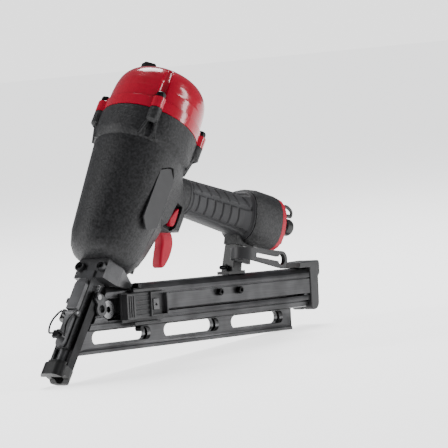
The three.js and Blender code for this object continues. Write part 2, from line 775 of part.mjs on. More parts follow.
function handleEndCap() {
  const stations = [
    handleRing(capFace, handleEndHalfHeight, handleEndHalfWidth),
    handleRing(capFace + endCapThickness * 0.45, handleEndHalfHeight - 0.8, handleEndHalfWidth - 0.8),
    handleRing(capFace + endCapThickness * 0.75, handleEndHalfHeight - 4.5, handleEndHalfWidth - 4.5),
    handleRing(capFace + endCapThickness, handleEndHalfHeight - 13, handleEndHalfWidth - 12),
  ];
  const dome = solid(loft(stations));
  const strapBoss = rod(4, [capFace + 6, 0, strapBossLift], [capFace + endCapThickness + 2.5, 0, strapBossLift], 16);
  const bore = rod(plugThreadRadius + restGap, [capFace - 1, 0, plugOffset], [plugStart + 30, 0, plugOffset], 20);
  const face = rod(plugHex + 1.5, [plugStart, 0, plugOffset], [plugStart + 30, 0, plugOffset], 24);
  const holes = endScrewPlaces.map(([y, z]) => rod(1.8 + restGap, [capFace - 1, y, z], [capFace + 30, y, z], 10));
  const seats = endScrewPlaces.map(([y, z]) => rod(3.6, [capFace + 7, y, z], [capFace + 30, y, z], 16));
  return cut(join(dome, strapBoss), bore, face, ...holes, ...seats);
}

const strapBossLift = 17;

// The quick-connect plug: thread, hex, neck and nipple, drilled through.
function airPlug() {
  const start = plugStart - 12;
  const profile = [
    [plugBore, 0],
    [plugThreadRadius, 0],
    [plugThreadRadius, 12.5],
    [6.8, 12.5],
    [6.8, 20],
    [4.6, 21.5],
    [4.6, 26],
    [6, 27],
    [6, 31],
    [5, 33],
    [5, 40],
    [4.4, 41],
    [plugBore, 41],
    [plugBore, 0],
  ];
  const stem = turnedAlong(profile, [start, 0, plugOffset], [1, 0, 0], 16);
  const hex = turnedAlong([[plugBore + 1, 12.5], [plugHex, 12.5], [plugHex, 18], [plugBore + 1, 18],
    [plugBore + 1, 12.5]], [start, 0, plugOffset], [1, 0, 0], 6);
  return join(stem, hex);
}

const plugEnd = plugStart - 12 + 41;
const dustCapInner = 6 + runningGap;
const dustCap = () => turnedAlong([
  [0, plugEnd + 0.6],
  [0, plugEnd + 2.4],
  [7.6, plugEnd + 2.4],
  [dustCapInner + 2.4, plugEnd + 1],
  [dustCapInner + 2.4, plugEnd - 8],
  [dustCapInner, plugEnd - 8],
  [dustCapInner, plugEnd + 0.6],
  [0, plugEnd + 0.6],
], [0, 0, plugOffset], [1, 0, 0], 16);

function dustCapStrap() {
  const start = [capFace + endCapThickness + 3.3 + restGap, 0, strapBossLift];
  const end = [plugEnd - 5, 0, plugOffset + dustCapInner + 2.4 + restGap + 2];
  const path = [
    start,
    [start[0] + 3, 0, strapBossLift + 1],
    [start[0] + 9, 0, strapBossLift + 5],
    [start[0] + 17, 0, strapBossLift + 8],
    [plugEnd + 5, 0, strapBossLift + 5],
    [plugEnd + 5.5, 0, strapBossLift],
    [plugEnd + 1, 0, end[2] + 1],
    end,
  ];
  const section = shapeOf([[-1.2, -1.4], [-0.6, -2], [0.6, -2], [1.2, -1.4], [1.2, 1.4], [0.6, 2], [-0.6, 2], [-1.2, 1.4]]);
  return swept(path, section, 18);
}

place(handle, 'grip_sleeve', gripSleeve(), 'rubber');
place(handle, 'handle_end_cap', handleEndCap(), 'satinRed');
endScrewPlaces.forEach(([y, z], i) => {
  const screw = socketScrew(3, 3, 1.8, 16).rotate([0, 90, 0]);
  place(handle, `end_cap_screw_${i + 1}`, screw.translate([capFace + 7 + restGap, y, z]), 'blackSteel');
});
place(handle, 'air_plug', airPlug(), 'chrome');
place(handle, 'dust_cap', dustCap(), 'darkRubber');
place(handle, 'dust_cap_strap', dustCapStrap(), 'darkRubber');

// ---------------------------------------------------------------- trigger group

function trigger() {
  const shape = new THREE.Shape();
  shape.moveTo(pivotU - 5, pivotW + 3);
  shape.lineTo(pivotU - 5, pivotW - 4);
  shape.quadraticCurveTo(pivotU + 9, pivotW - 8, pivotU + 12.5, pivotW - 18);
  shape.quadraticCurveTo(pivotU + 15.5, pivotW - 29, pivotU + 18, pivotW - 35);
  shape.quadraticCurveTo(pivotU + 21.5, pivotW - 41, pivotU + 26, pivotW - 34);
  shape.quadraticCurveTo(pivotU + 30, pivotW - 20, pivotU + 26, pivotW - 9);
  shape.quadraticCurveTo(pivotU + 23, pivotW - 2.5, pivotU + 17, pivotW);
  shape.quadraticCurveTo(pivotU + 6, pivotW + 4, pivotU - 1, pivotW + 6);
  shape.quadraticCurveTo(pivotU - 5, pivotW + 6, pivotU - 5, pivotW + 3);
  const body = sideSolid(shape, -triggerHalfWidth, triggerHalfWidth, 6);
  const hole = rod(pivotPinRadius + runningGap, [pivotU, -20, pivotW], [pivotU, 20, pivotW], 16);
  return cut(body, hole);
}

// The pin turns the selector outside the housing and carries the trigger inside it.
function modeSelector() {
  const shape = new THREE.Shape();
  shape.absarc(0, 0, 4.4, -Math.PI * 1.05, 0.05 * Math.PI, false);
  shape.quadraticCurveTo(4.6, 6, 3.4, 14.8);
  shape.quadraticCurveTo(2.6, 16.6, 1, 15.2);
  shape.quadraticCurveTo(-2.5, 9, -4.4, 0.8);
  const outer = selectorFace + restGap;
  const lever = sideSolid(shape, -outer - 6, -outer, 6).translate([pivotU, 0, pivotW]);
  const pin = rod(pivotPinRadius, [pivotU, -outer - 1, pivotW], [pivotU, -9.5, pivotW], 16);
  return join(lever, pin);
}

const pivotPin = () => rod(pivotPinRadius - 0.05, [pivotU, -9.2, pivotW], [pivotU, 17, pivotW], 16);

const valveFoot = pivotW + 9.6;
const valveBody = () => turned([
  [1.8 + runningGap, valveFoot],
  [valveRadius, valveFoot],
  [valveRadius, valveTop],
  [3.4, valveTop],
  [3.4, valveFoot + 5],
  [1.8 + runningGap, valveFoot + 5],
  [1.8 + runningGap, valveFoot],
], 20).translate([valveU, 0, 0]);
const stemFoot = pivotW + 2.4;     // just above the trigger
const valveStem = () => turned([
  [0, stemFoot],
  [1.8, stemFoot],
  [1.8, valveFoot + 6],
  [2.9, valveFoot + 6],
  [2.9, valveFoot + 9],
  [0, valveFoot + 9],
], 16).translate([valveU, 0, 0]);
const valveSpring = () => turned(ring(1.4, 2.6, valveFoot + 9.3, valveTop - 1), 16).translate([valveU, 0, 0]);

place(tool, 'trigger', trigger(), 'satinRed');
place(tool, 'trigger_pin', pivotPin(), 'steel');
place(tool, 'mode_selector', modeSelector(), 'satinRed');
place(tool, 'trigger_valve_body', valveBody(), 'steel');
place(tool, 'trigger_valve_stem', valveStem(), 'steel');
place(tool, 'trigger_valve_spring', valveSpring(), 'steel');
place(tool, 'trip_rod', rod(tripRodRadius, [tripRodU, 0, 140], [tripRodU, 0, pivotW - 24], 16), 'blackSteel');

// ---------------------------------------------------------------- nose

const guideHead = bodyFoot - restGap;
const blockFront = -7;
const noseScrewW = 116;
const noseTube = 6.4;
const hingeU = -12;
const hingeW = 64.5;
const hingePinRadius = 1.5;
const depthWheelRadius = 7;
const depthStudV = noseHalfWidth + depthWheelRadius + 0.6;
const depthEar = 80;

// Underside of the nose casting's block, which rises towards the magazine.
const blockUnderside = [[blockFront, 105], [12, 107], [42, 119.5]];

function driverGuide() {
  const plan = planSolid([
    [blockFront, -18], [14, -19.5], [32, -13], [42, -9], [42, 9], [32, 13], [14, 19.5], [blockFront, 18],
  ], 100, guideHead);
  const side = sideSolid([...blockUnderside, [42, guideHead], [blockFront, guideHead]], -25, 25);
  const screwBosses = noseScrewSides.map((y) => rod(5, [blockFront - 4, y, noseScrewW], [0, y, noseScrewW], 20));
  const bar = boxSolid([noseFront, noseBack], [-noseHalfWidth, noseHalfWidth], [doorFoot - 1, 112]);
  const tube = rod(noseTube, [0, 0, noseFoot], [0, 0, doorFoot + 2], 20);
  const ears = [-1, 1].map((side1) => boxSolid(
    [hingeU - 2.6, noseFront + 1],
    [side1 * noseHalfWidth - 1.6, side1 * noseHalfWidth + 1.6],
    [hingeW - 3, hingeW + 2.6],
  ));
  const depthEarBox = boxSolid([-4.5, 4.5], [noseHalfWidth - 1, depthStudV + 4.5], [depthEar, depthEar + 5]);
  const blade = [bladeThickness / 2 + runningGap, bladeWidth / 2 + runningGap];
  const channel = boxSolid([-blade[0], blade[0]], [-blade[1], blade[1]], [noseFoot - 5, guideHead + 5]);
  const frontWindow = boxSolid([noseFront - 1, 0], [-blade[1], blade[1]], [doorFoot + 4, hingeW - 3.5]);
  const nailEntry = boxSolid([0, noseBack + 1], [-shankChannelWidth / 2 - 0.3, shankChannelWidth / 2 + 0.3],
    [doorFoot + 2, 96]);
  const screwHoles = noseScrewSides.map((y) => (
    rod(2 + restGap, [blockFront - 10, y, noseScrewW], [blockFront + 16, y, noseScrewW], 12)
  ));
  const screwSeats = noseScrewSides.map((y) => (
    rod(3.8, [blockFront - 10, y, noseScrewW], [blockFront + 1, y, noseScrewW], 20)
  ));
  const hingeHole = rod(hingePinRadius + restGap, [hingeU, -20, hingeW], [hingeU, 20, hingeW], 16);
  const studHole = rod(2 + runningGap + 0.2, [0, depthStudV, depthEar - 1], [0, depthStudV, depthEar + 6], 16);
  const whole = join(plan.intersect(side), ...screwBosses, bar, tube, ...ears, depthEarBox);
  return cut(
    whole, channel, frontWindow, nailEntry, ...screwHoles, ...screwSeats, hingeHole, studHole,
    armRelief(),
  );
}

const armU = [-4, 5];
const armV = [-12, -8.5];
const armTop = 92;

// Room for the work contact arm to rise past the casting.
const armRelief = () => boxSolid(
  [armU[0] - runningGap, armU[1] + runningGap],
  [-30, armV[1] + runningGap],
  [armTop - 4, armTop + contactTravel + 1],
);

function noseCover() {
  const front = noseFront - restGap;
  const outline = [
    [-noseHalfWidth + 0.4, coverFoot],
    [noseHalfWidth - 0.4, coverFoot],
    [noseHalfWidth - 0.4, coverTop - 6],
    [noseHalfWidth - 3, coverTop],
    [3 - noseHalfWidth, coverTop],
    [0.4 - noseHalfWidth, coverTop - 6],
  ];
  const plate = sectionSolid(outline, front - coverThickness, front);
  const bevel = boxSolid([front - coverThickness - 1, front - coverThickness + 1], [-20, 20], [coverTop - 3, 120]);
  return cut(plate, bevel);
}

function jamDoor() {
  const back = noseFront - restGap;
  const shape = new THREE.Shape();
  shape.moveTo(-5.2, hingeW);
  shape.lineTo(-5.2, doorFoot + 4);
  shape.quadraticCurveTo(-4.5, doorFoot - 2, 0, doorFoot - 2);
  shape.quadraticCurveTo(4.5, doorFoot - 2, 5.2, doorFoot + 4);
  shape.lineTo(5.2, hingeW);
  const plate = sectionSolid(shape, back - 3.5, back, 5);
  const knuckle = rod(2.6, [hingeU, -5.2, hingeW], [hingeU, 5.2, hingeW], 16);
  const lugs = [-1, 1].map((s) => boxSolid([latchU - 2, back - 2], [s * 4.4 - 0.8, s * 4.4 + 0.8], [37, 42]));
  const latchHole = rod(1.2 + restGap, [latchU, -9, latchW], [latchU, 9, latchW], 12);
  const pinHole = rod(hingePinRadius + 0.15, [hingeU, -9, hingeW], [hingeU, 9, hingeW], 16);
  return cut(join(plate, knuckle, ...lugs), pinHole, latchHole);
}

const latchU = -15;
const latchW = 39.5;

function latchLever() {
  const shape = [
    [latchU - 2, latchW - 2.2], [latchU + 0.6, latchW - 1.9], [latchU + 1.3, latchW], [latchU + 0.6, latchW + 1.8],
    [latchU - 3, latchW + 1.8], [latchU - 6.5, latchW + 1.4], [latchU - 6.5, latchW - 5], [latchU - 4, latchW - 6],
  ];
  const body = sideSolid(shape, -3.2, 3.2);
  const pin = rod(1.2, [latchU, -5.4, latchW], [latchU, 5.4, latchW], 12);
  const wireHole = rod(wireRadius + restGap, [wireFoot[0], -6, wireFoot[1]], [wireFoot[0], 6, wireFoot[1]], 12);
  return cut(join(body, pin), wireHole);
}

const wireRadius = 0.9;
const wireFoot = [-19.2, 39];

// A spring-wire bail: two bowed legs and the bar that joins them through the lever.
function latchWire() {
  const side = noseHalfWidth + 2.8;
  const [footU, footW] = wireFoot;
  const leg = (s) => [
    [hingeU - 2, s * side, hingeW + 1],
    [hingeU - 4.5, s * side, hingeW - 2],
    [footU - 1.5, s * side, footW + 14],
    [footU - 2.5, s * side, footW + 6],
    [footU - 1, s * side, footW + 1],
  ];
  const corner = (s) => [[footU, s * (side - 0.6), footW], [footU, s * (side - 2), footW]];
  const path = [...leg(-1), ...corner(-1), [footU, 0, footW], ...corner(1).reverse(), ...leg(1).reverse()];
  return swept(path, roundSection(wireRadius, 6), 34);
}

// The yoke that the work pushes up: a flat arm, a ring round the nose tube and a depth stud.
function workContact() {
  const arm = boxSolid(armU, armV, [ringFoot, armTop]);
  const yokeRing = turned(ring(noseTube + runningGap, yokeRadius, ringFoot, ringFoot + 9), 20);
  const bridge = boxSolid([armU[0], armU[1]], [armV[0], -noseTube - 1.5], [ringFoot, ringFoot + 9]);
  const rightArm = boxSolid(armU, [-armV[1], -armV[0]], [ringFoot, 52]);
  const rightBridge = boxSolid(armU, [noseTube + 1.5, -armV[0]], [ringFoot, ringFoot + 9]);
  const shelf = boxSolid([-4, 4], [-armV[1], depthStudV + 3.5], [48, 52]);
  const stud = rod(2, [0, depthStudV, 50], [0, depthStudV, depthEar + 4], 16);
  const rivetHole = rod(1.3 + restGap, [strapRivet[0], -20, strapRivet[1]], [strapRivet[0], 0, strapRivet[1]], 12);
  return cut(join(arm, yokeRing, bridge, rightArm, rightBridge, shelf, stud), rivetHole);
}

const ringFoot = 6;
const yokeRadius = noseTube + 3;
const strapRivet = [0.5, 88];
const strapEye = [10, 81];

function depthWheel() {
  const teeth = 14;
  const outline = [];
  for (let i = 0; i < teeth * 2; i += 1) {
    const angle = (i / (teeth * 2)) * 2 * Math.PI;
    const radius = depthWheelRadius - (i % 2 ? 0 : 0.7);
    outline.push([radius * Math.cos(angle), radius * Math.sin(angle)]);
  }
  const wheel = planSolid(outline, 62, 69);
  return cut(wheel, rod(2 + runningGap, [0, 0, 60], [0, 0, 71], 16)).translate([0, depthStudV, 0]);
}

function contactStrap() {
  const [eyeU, eyeW] = strapEye;
  const shape = new THREE.Shape();
  shape.moveTo(strapRivet[0] - 3, strapRivet[1] + 3.5);
  shape.lineTo(strapRivet[0] - 3, strapRivet[1] - 3.5);
  shape.lineTo(eyeU - 7, eyeW + 1);
  shape.absarc(eyeU, eyeW, 7, Math.PI, 2.35 * Math.PI, false);
  shape.lineTo(strapRivet[0] + 5, strapRivet[1] + 5.5);
  const low = armV[0] - restGap - 2.4;
  const plate = sideSolid(shape, low, armV[0] - restGap, 6);
  const eye = rod(3.6, [eyeU, -30, eyeW], [eyeU, 0, eyeW], 20);
  const rivetHole = rod(1.3 + restGap, [strapRivet[0], -30, strapRivet[1]], [strapRivet[0], 0, strapRivet[1]], 12);
  return cut(plate, eye, rivetHole);
}

const strapRivetSolid = () => join(
  rod(1.3, [strapRivet[0], armV[0] - 3.2, strapRivet[1]], [strapRivet[0], armV[1] - 0.4, strapRivet[1]], 12),
  rod(2.6, [strapRivet[0], armV[0] - 4.2, strapRivet[1]], [strapRivet[0], armV[0] - 3, strapRivet[1]], 16),
);

// A moulded boot over the yoke's ring, so that the nose leaves no mark.
function noMarTip() {
  const shape = roundedBox(tipFront, -tipHalfWidth, tipBack, tipHalfWidth, 9);
  const block = planSolid(shape, 0, tipHeight - 3.5, 5);
  const shoulder = planSolid(roundedBox(tipFront + 2, 2 - tipHalfWidth, tipBack - 2, tipHalfWidth - 2, 7.5),
    tipHeight - 3.6, tipHeight, 5);
  const tubeHole = rod(noseTube + runningGap, [0, 0, -1], [0, 0, tipHeight + 1], 20);
  const ringSeat = rod(yokeRadius + restGap, [0, 0, ringFoot - restGap], [0, 0, tipHeight + 1], 20);
  const armSeat = boxSolid([armU[0] - restGap, armU[1] + restGap], [armV[0] - restGap, restGap - armV[0]],
    [ringFoot - restGap, tipHeight + 1]);
  const vee = sideSolid([[-7, -1], [7, -1], [4, 3.2], [-4, 3.2]], -30, 30);
  return cut(join(block, shoulder), tubeHole, ringSeat, armSeat, vee);
}

const contactSpring = () => turned(ring(1.2, 2.2, armTop + restGap, armTop + contactTravel + 0.6), 16)
  .translate([0.5, (armV[0] + armV[1]) / 2 + 0.4, 0]);

place(tool, 'driver_guide', driverGuide(), 'nose');
noseScrewSides.forEach((y, i) => {
  const screw = socketScrew(3.4, 4, 2, 12).rotate([0, -90, 0]);
  place(tool, `nose_screw_${i + 1}`, screw.translate([blockFront + 0.6, y, noseScrewW]), 'blackSteel');
});
place(tool, 'nose_cover', noseCover(), 'coverGrey');
place(tool, 'jam_door', jamDoor(), 'coverGrey');
place(tool, 'door_hinge_pin', rod(hingePinRadius, [hingeU, -8.6, hingeW], [hingeU, 8.6, hingeW], 16), 'steel');
place(tool, 'latch_lever', latchLever(), 'blackSteel');
place(tool, 'latch_wire', latchWire(), 'blackSteel');
place(tool, 'work_contact', workContact(), 'blackSteel');
place(tool, 'work_contact_spring', contactSpring(), 'steel');
place(tool, 'depth_wheel', depthWheel(), 'blackPlastic');
place(tool, 'contact_strap', contactStrap(), 'nose');
place(tool, 'strap_rivet', strapRivetSolid(), 'steel');
place(tool, 'no_mar_tip', noMarTip(), 'darkRubber');

// ---------------------------------------------------------------- magazine

const slitFoot = 53.4;
const slitHeight = 2.2;
const screwRow = 66;             // height of the magazine screws
const magazineScrews = [231, 262.5];

// One half of the extrusion's outline, [half width, height], from the foot up.
const railOutline = [
  [6.9, magazineFoot], [6.9, 23], [webThickness / 2, 23.6], [webThickness / 2, 41], [8.6, 42.4], [8.6, 46.8],
  [7.8, 47.2], [7.8, 48], [11, 48.6], [11, 53.2], [10, 53.6], [10, 55], [magazineHalfWidth, 55.4],
  [magazineHalfWidth, 70.2], [11, 70.6], [11, 71.6], [magazineHalfWidth, 72], [magazineHalfWidth, magazineTop - 5.5],
  [magazineHalfWidth - 3, magazineTop - 1], [magazineHalfWidth - 6, magazineTop],
];

// Room for the nails: a slot for their shanks and a wider one for their heads.
function nailChannel(from, to, foot) {
  const shank = shankChannelWidth / 2;
  const head = headChannelWidth / 2;
  return sectionSolid([
    [-shank, foot], [shank, foot], [shank, headFoot], [head, headFoot],
    [head, headTop], [-head, headTop], [-head, headFoot], [-shank, headFoot],
  ], from, to);
}

function magazineRail() {
  const mirrored = railOutline.map(([y, z]) => [-y, z]).reverse();
  const rail = sectionSolid([...railOutline, ...mirrored], 15, magazineEnd);
  const channel = nailChannel(0, magazineEnd + 1, 24);
  const windows = [0, 1, 2].map((i) => {
    const start = firstSlot + i * slotPitch;
    const outline = roundedBox(start, slotFoot, start + slotLength, slotFoot + slotHeight, slotHeight / 2 - 0.01);
    return sideSolid(outline, -20, 20, 4);
  });
  const slit = boxSolid([pusherStart - 4, magazineEnd - 8], [-20, 0], [slitFoot, slitFoot + slitHeight]);
  const frontFace = toMagazine(boxSolid([-200, noseBack + restGap], [-40, 40], [-100, 300]));
  const underBlock = toMagazine(sideSolid([
    [-30, 90], [9, 106.2], [12, 106.4], [43, 119], [43, 180], [-30, 180],
  ], -40, 40));
  const heelCut = boxSolid([heelEnd, magazineEnd + 5], [-20, 20], [0, 41.5]);
  const springPocket = rod(springRollRadius + 1, [springRollM, -20, springRollP], [springRollM, -3.6, springRollP], 24);
  const frontPocket = boxSolid([springRollM - 2, pusherStart + 4], [-20, -3.6], [49.5, 70]);
  const screwHoles = magazineScrews.map((m) => rod(2.3, [m, -20, screwRow], [m, -4, screwRow], 10));
  const armRoom = toMagazine(boxSolid([-10, 10], [-30, -7.5], [0, 104]));
  return cut(
    rail, channel, ...windows, slit, frontFace, underBlock, heelCut, springPocket, frontPocket, ...screwHoles,
    armRoom,
  );
}

const springRollM = 67;
const springRollP = 60;
const springRollRadius = 8.5;

function magazineEndCap() {
  const start = magazineEnd + restGap;
  const shape = new THREE.Shape();
  shape.moveTo(start, 42);
  shape.quadraticCurveTo(start, 38, start + 5, 38);
  shape.quadraticCurveTo(start + 13, 38, start + 13.5, 47);
  shape.lineTo(start + 14, 72);
  shape.lineTo(start + 17, 75);
  shape.lineTo(start + 17, magazineTop + 4);
  shape.quadraticCurveTo(start + 17, magazineTop + 7, start + 14, magazineTop + 7);
  shape.lineTo(magazineEnd - 16, magazineTop + 6);
  shape.lineTo(magazineEnd - 18, magazineTop + restGap);
  shape.lineTo(start, magazineTop + restGap);
  const whole = sideSolid(shape, -magazineHalfWidth - 1, magazineHalfWidth + 1, 6);
  return cut(whole, nailChannel(magazineEnd - 1, magazineEnd + 30, 30));
}

// The carriage grips the rail's outside; its tab passes through the slit to the plate behind the nails.
function pusherCarriage() {
  const face = -magazineHalfWidth - runningGap;
  const end = pusherStart + pusherLength;
  const base = boxSolid([pusherStart, end], [face - 2.4, face], [46, 74]);
  const tab = boxSolid([pusherStart + 4, pusherStart + 36], [face - 1, 0], [slitFoot + 0.5, slitFoot + slitHeight - 0.5]);
  const half = shankChannelWidth / 2 - runningGap;
  const plate = boxSolid([pusherStart + 2, pusherStart + 40], [-half, half], [slotFoot + slotHeight + 1.4, 66]);
  const flanges = [43, 74].map((z) => boxSolid([pusherStart + 13, pusherStart + 51], [face - 7, face], [z, z + 3]));
  return join(base, tab, plate, ...flanges);
}

function pusherKnob() {
  const back = -magazineHalfWidth - runningGap - 2.4 - restGap;
  const start = pusherStart;
  const pocketStart = start + pusherLength - pusherPocket;
  const outline = [
    [start, back], [start, back - 7], [start + 12, back - 7], [start + 15, back - 3.4],
    [start + 25, back - 2.4], [pocketStart, back - 3.4], [pocketStart, back],
  ];
  const knob = planSolid(outline, 49, 73);
  const grooves = [3, 6, 9].map((m) => boxSolid([start + m - 0.7, start + m + 0.7], [back - 8, back - 5.5], [51, 71]));
  const ridges = [52, 56.4, 60.8, 65.2, 69.6].map((z) => (
    boxSolid([start + 15, pocketStart + 1], [back - 4.2, back], [z - 0.5, z + 0.5])
  ));
  const housing = boxSolid([pocketStart, start + pusherLength], [back - 6, back], [50, 73]);
  const pocket = boxSolid([pocketStart + 1.5, start + pusherLength - 1.5], [back - 7, back - 1.5], [51.5, 71.5]);
  return cut(join(knob, ...ridges, housing), ...grooves, pocket);
}

function pusherLatch() {
  const back = -magazineHalfWidth - runningGap - 2.4 - restGap - 1.5 - restGap;
  const start = pusherStart + pusherLength - pusherPocket + 5;
  const block = boxSolid([start, start + 8.5], [back - 3, back], [56, 66.5]);
  const hole = rod(1.3, [start + 4, back - 4, 61], [start + 4, back - 1.5, 61], 12);
  return cut(block, hole);
}

const pusherRollerHeights = [39.6, 80.2];
const pusherRoller = (z) => rod(
  2.6,
  [pusherStart + 22, -magazineHalfWidth - 8, z],
  [pusherStart + 22, -magazineHalfWidth - 1, z],
  16,
);

place(magazine, 'magazine_rail', magazineRail(), 'extrusion');
place(magazine, 'magazine_end_cap', magazineEndCap(), 'plastic');
magazineScrews.forEach((m, i) => {
  const screw = socketScrew(3.6, 4.5, 2, 7).rotate([90, 0, 0]);
  place(magazine, `magazine_screw_${i + 1}`, screw.translate([m, -magazineHalfWidth - restGap, screwRow]), 'blackSteel');
});
const roll = turned(ring(3, springRollRadius, 0, 6.5), 24).rotate([90, 0, 0]);
place(magazine, 'feed_spring', roll.translate([springRollM, -4, springRollP]), 'steel');
place(magazine, 'pusher', pusherCarriage(), 'plastic');
place(magazine, 'pusher_knob', pusherKnob(), 'plastic');
place(magazine, 'pusher_latch', pusherLatch(), 'coverGrey');

// ---------------------------------------------------------------- bracket and belt hook

const strutFoot = magazineTop + restGap;

function strutBracket() {
  const toMag = magazine.matrix.clone().invert().multiply(handle.matrix);
  const top = [
    new THREE.Vector3(strutAlong - strutHalf, 0, padFoot - restGap),
    new THREE.Vector3(strutAlong + strutHalf - 3, 0, padFoot - restGap),
  ].map((corner) => corner.applyMatrix4(toMag));
  const side = [
    [strutM, strutFoot], [strutM + 15, strutFoot], [top[1].x, top[1].z], [top[0].x, top[0].z],
  ];
  const post = sideSolid(side, -strutHalf + 0.5, strutHalf - 0.5);
  const foot = boxSolid([strutM - 5, strutM + 21], [-strutHalf, strutHalf], [strutFoot, strutFoot + 3]);
  const screwHole = rod(1.8 + restGap, [strutM - 4, 0, strutScrewP], [strutM + 11, 0, strutScrewP], 12);
  const bolt = new THREE.Vector3(hookBolt, 0, 0).applyMatrix4(hook.matrix);
  const boltHole = rod(2.5 + restGap, [bolt.x, -20, bolt.z], [bolt.x, 3, bolt.z], 12);
  return cut(join(post, foot), screwHole, boltHole);
}

const strutM = 260;
const strutScrewP = 89;
const hookBolt = 6;             // hook's bolt from its bend

// A flat strap bent to a U in plan, narrow at the bend, with a keyhole in its outer arm.
function beltHook() {
  const inner = strutHalf - 0.5 + restGap;
  const bend = 8.5;
  const reach = inner + 2 * bend + 2 * hookWidth;
  const middle = (inner + reach) / 2;
  const plan = new THREE.Shape();
  plan.moveTo(22, -inner);
  plan.lineTo(0, -inner);
  plan.absarc(0, -middle, middle - inner, Math.PI / 2, 1.5 * Math.PI, false);
  plan.lineTo(hookLength, -reach);
  plan.lineTo(hookLength, hookWidth - reach);
  plan.lineTo(0, hookWidth - reach);
  plan.absarc(0, -middle, middle - inner - hookWidth, 1.5 * Math.PI, Math.PI / 2, true);
  plan.lineTo(22, -inner - hookWidth);
  const strap = planSolid(plan, -9, 9, 10);
  const side = new THREE.Shape();
  side.moveTo(-20, -5.5);
  side.lineTo(0, -6);
  side.lineTo(hookLength - 9, -8.5);
  side.absarc(hookLength - 9, 0, 8.5, -Math.PI / 2, Math.PI / 2, false);
  side.lineTo(0, 6);
  side.lineTo(-20, 5.5);
  const eye = rod(5.5, [hookLength - 10, -60, 0], [hookLength - 10, hookWidth - reach + 1, 0], 20);
  const keyhole = boxSolid([4, hookLength - 10], [-60, hookWidth - reach + 1], [-2.2, 2.2]);
  const boltHole = rod(2.5 + restGap, [hookBolt, -inner - hookWidth - 1, 0], [hookBolt, 0, 0], 16);
  return cut(strap.intersect(sideSolid(side, -60, 0, 8)), eye, keyhole, boltHole);
}

const hookLength = 55;
const hookStart = [264, 101];
const hook = new THREE.Group();
hook.rotation.y = -hookAngle * degree;
hook.position.set(hookStart[0], 0, hookStart[1]);
hook.updateMatrix();
magazine.add(hook);

function placeHook() {
  place(hook, 'belt_hook', beltHook(), 'plastic');
  const inner = strutHalf - 0.5 + restGap;
  const bolt = socketScrew(4.6, 3.6, 2.5, 13).rotate([90, 0, 0]);
  place(hook, 'hook_bolt', bolt.translate([hookBolt, -inner - hookWidth - restGap, 0]), 'blackSteel');
}

place(magazine, 'strut_bracket', strutBracket(), 'blackPlastic');
place(magazine, 'strut_screw', turnedAlong(
  [[0, 0], [2, 2.5], [2, 9], [3.2, 9], [3.2, 11], [1.8, 11], [1.8, 18], [0, 18]],
  [strutM - 11, 0, strutScrewP],
  [1, 0, 0],
  16,
), 'blackSteel');
placeHook();
pusherRollerHeights.forEach((z, i) => place(magazine, `pusher_roller_${i + 1}`, pusherRoller(z), 'blackSteel'));

// ---------------------------------------------------------------- stance

// The tool rests on the back edge of its nose tip and on the heel of the magazine.
const heel = new THREE.Vector3(heelEnd, 0, magazineFoot).applyMatrix4(magazine.matrix);
const restAngle = Math.atan2(heel.z, heel.x - tipBack);
tool.rotation.y = restAngle;

const nailer = new THREE.Group();
nailer.add(tool);
nailer.updateMatrixWorld(true);
const box = new THREE.Box3().setFromObject(nailer, true);
tool.position.set(-(box.min.x + box.max.x) / 2, -(box.min.y + box.max.y) / 2, -box.min.z);

export default nailer;
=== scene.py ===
# %% [markdown]
# A pneumatic finish nailer, dressed in Blender.
#
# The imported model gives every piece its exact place. This script keeps that model still, and lays
# finer surfaces and worked-out finishes over it: cast grain, gloss paint, moulded rubber, drawn
# aluminium. Lengths that come from the tool's own drawing are written in millimetres.

# %% The fixed frame
import json
import math
import bmesh
import bpy
import numpy as np
from mathutils import Matrix


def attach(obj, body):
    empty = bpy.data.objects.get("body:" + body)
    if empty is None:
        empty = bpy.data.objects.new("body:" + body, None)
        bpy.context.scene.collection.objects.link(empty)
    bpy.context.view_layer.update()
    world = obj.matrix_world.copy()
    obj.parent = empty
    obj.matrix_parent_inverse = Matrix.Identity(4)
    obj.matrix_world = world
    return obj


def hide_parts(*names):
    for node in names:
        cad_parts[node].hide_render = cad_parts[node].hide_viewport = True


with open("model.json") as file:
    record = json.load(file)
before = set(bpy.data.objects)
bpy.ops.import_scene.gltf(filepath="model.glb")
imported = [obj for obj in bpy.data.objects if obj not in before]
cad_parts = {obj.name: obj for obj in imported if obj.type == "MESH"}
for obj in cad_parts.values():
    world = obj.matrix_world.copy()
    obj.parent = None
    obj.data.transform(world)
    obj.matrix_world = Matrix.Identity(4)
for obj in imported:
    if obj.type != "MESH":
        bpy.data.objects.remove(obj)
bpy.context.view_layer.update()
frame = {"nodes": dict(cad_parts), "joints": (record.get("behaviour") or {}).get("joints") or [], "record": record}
nodes = frame["nodes"]
bodies = frame["record"]["behaviour"]["bodies"]
body_of_node = {node: body for body, members in bodies.items() for node in members}
slot_of_node = {row["node"]: row["material_slot"] for row in frame["record"]["subparts"]}

# %% [markdown]
# The tool leans on its nose and its magazine, so nothing on it is square to the floor. Each group of
# pieces is easier to draw in axes of its own: the drive axis, the handle and the magazine. The joints
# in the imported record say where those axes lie, so the three frames are read from them.


# %% Frames of the drive, the handle, the magazine and the hook
MM = 0.001


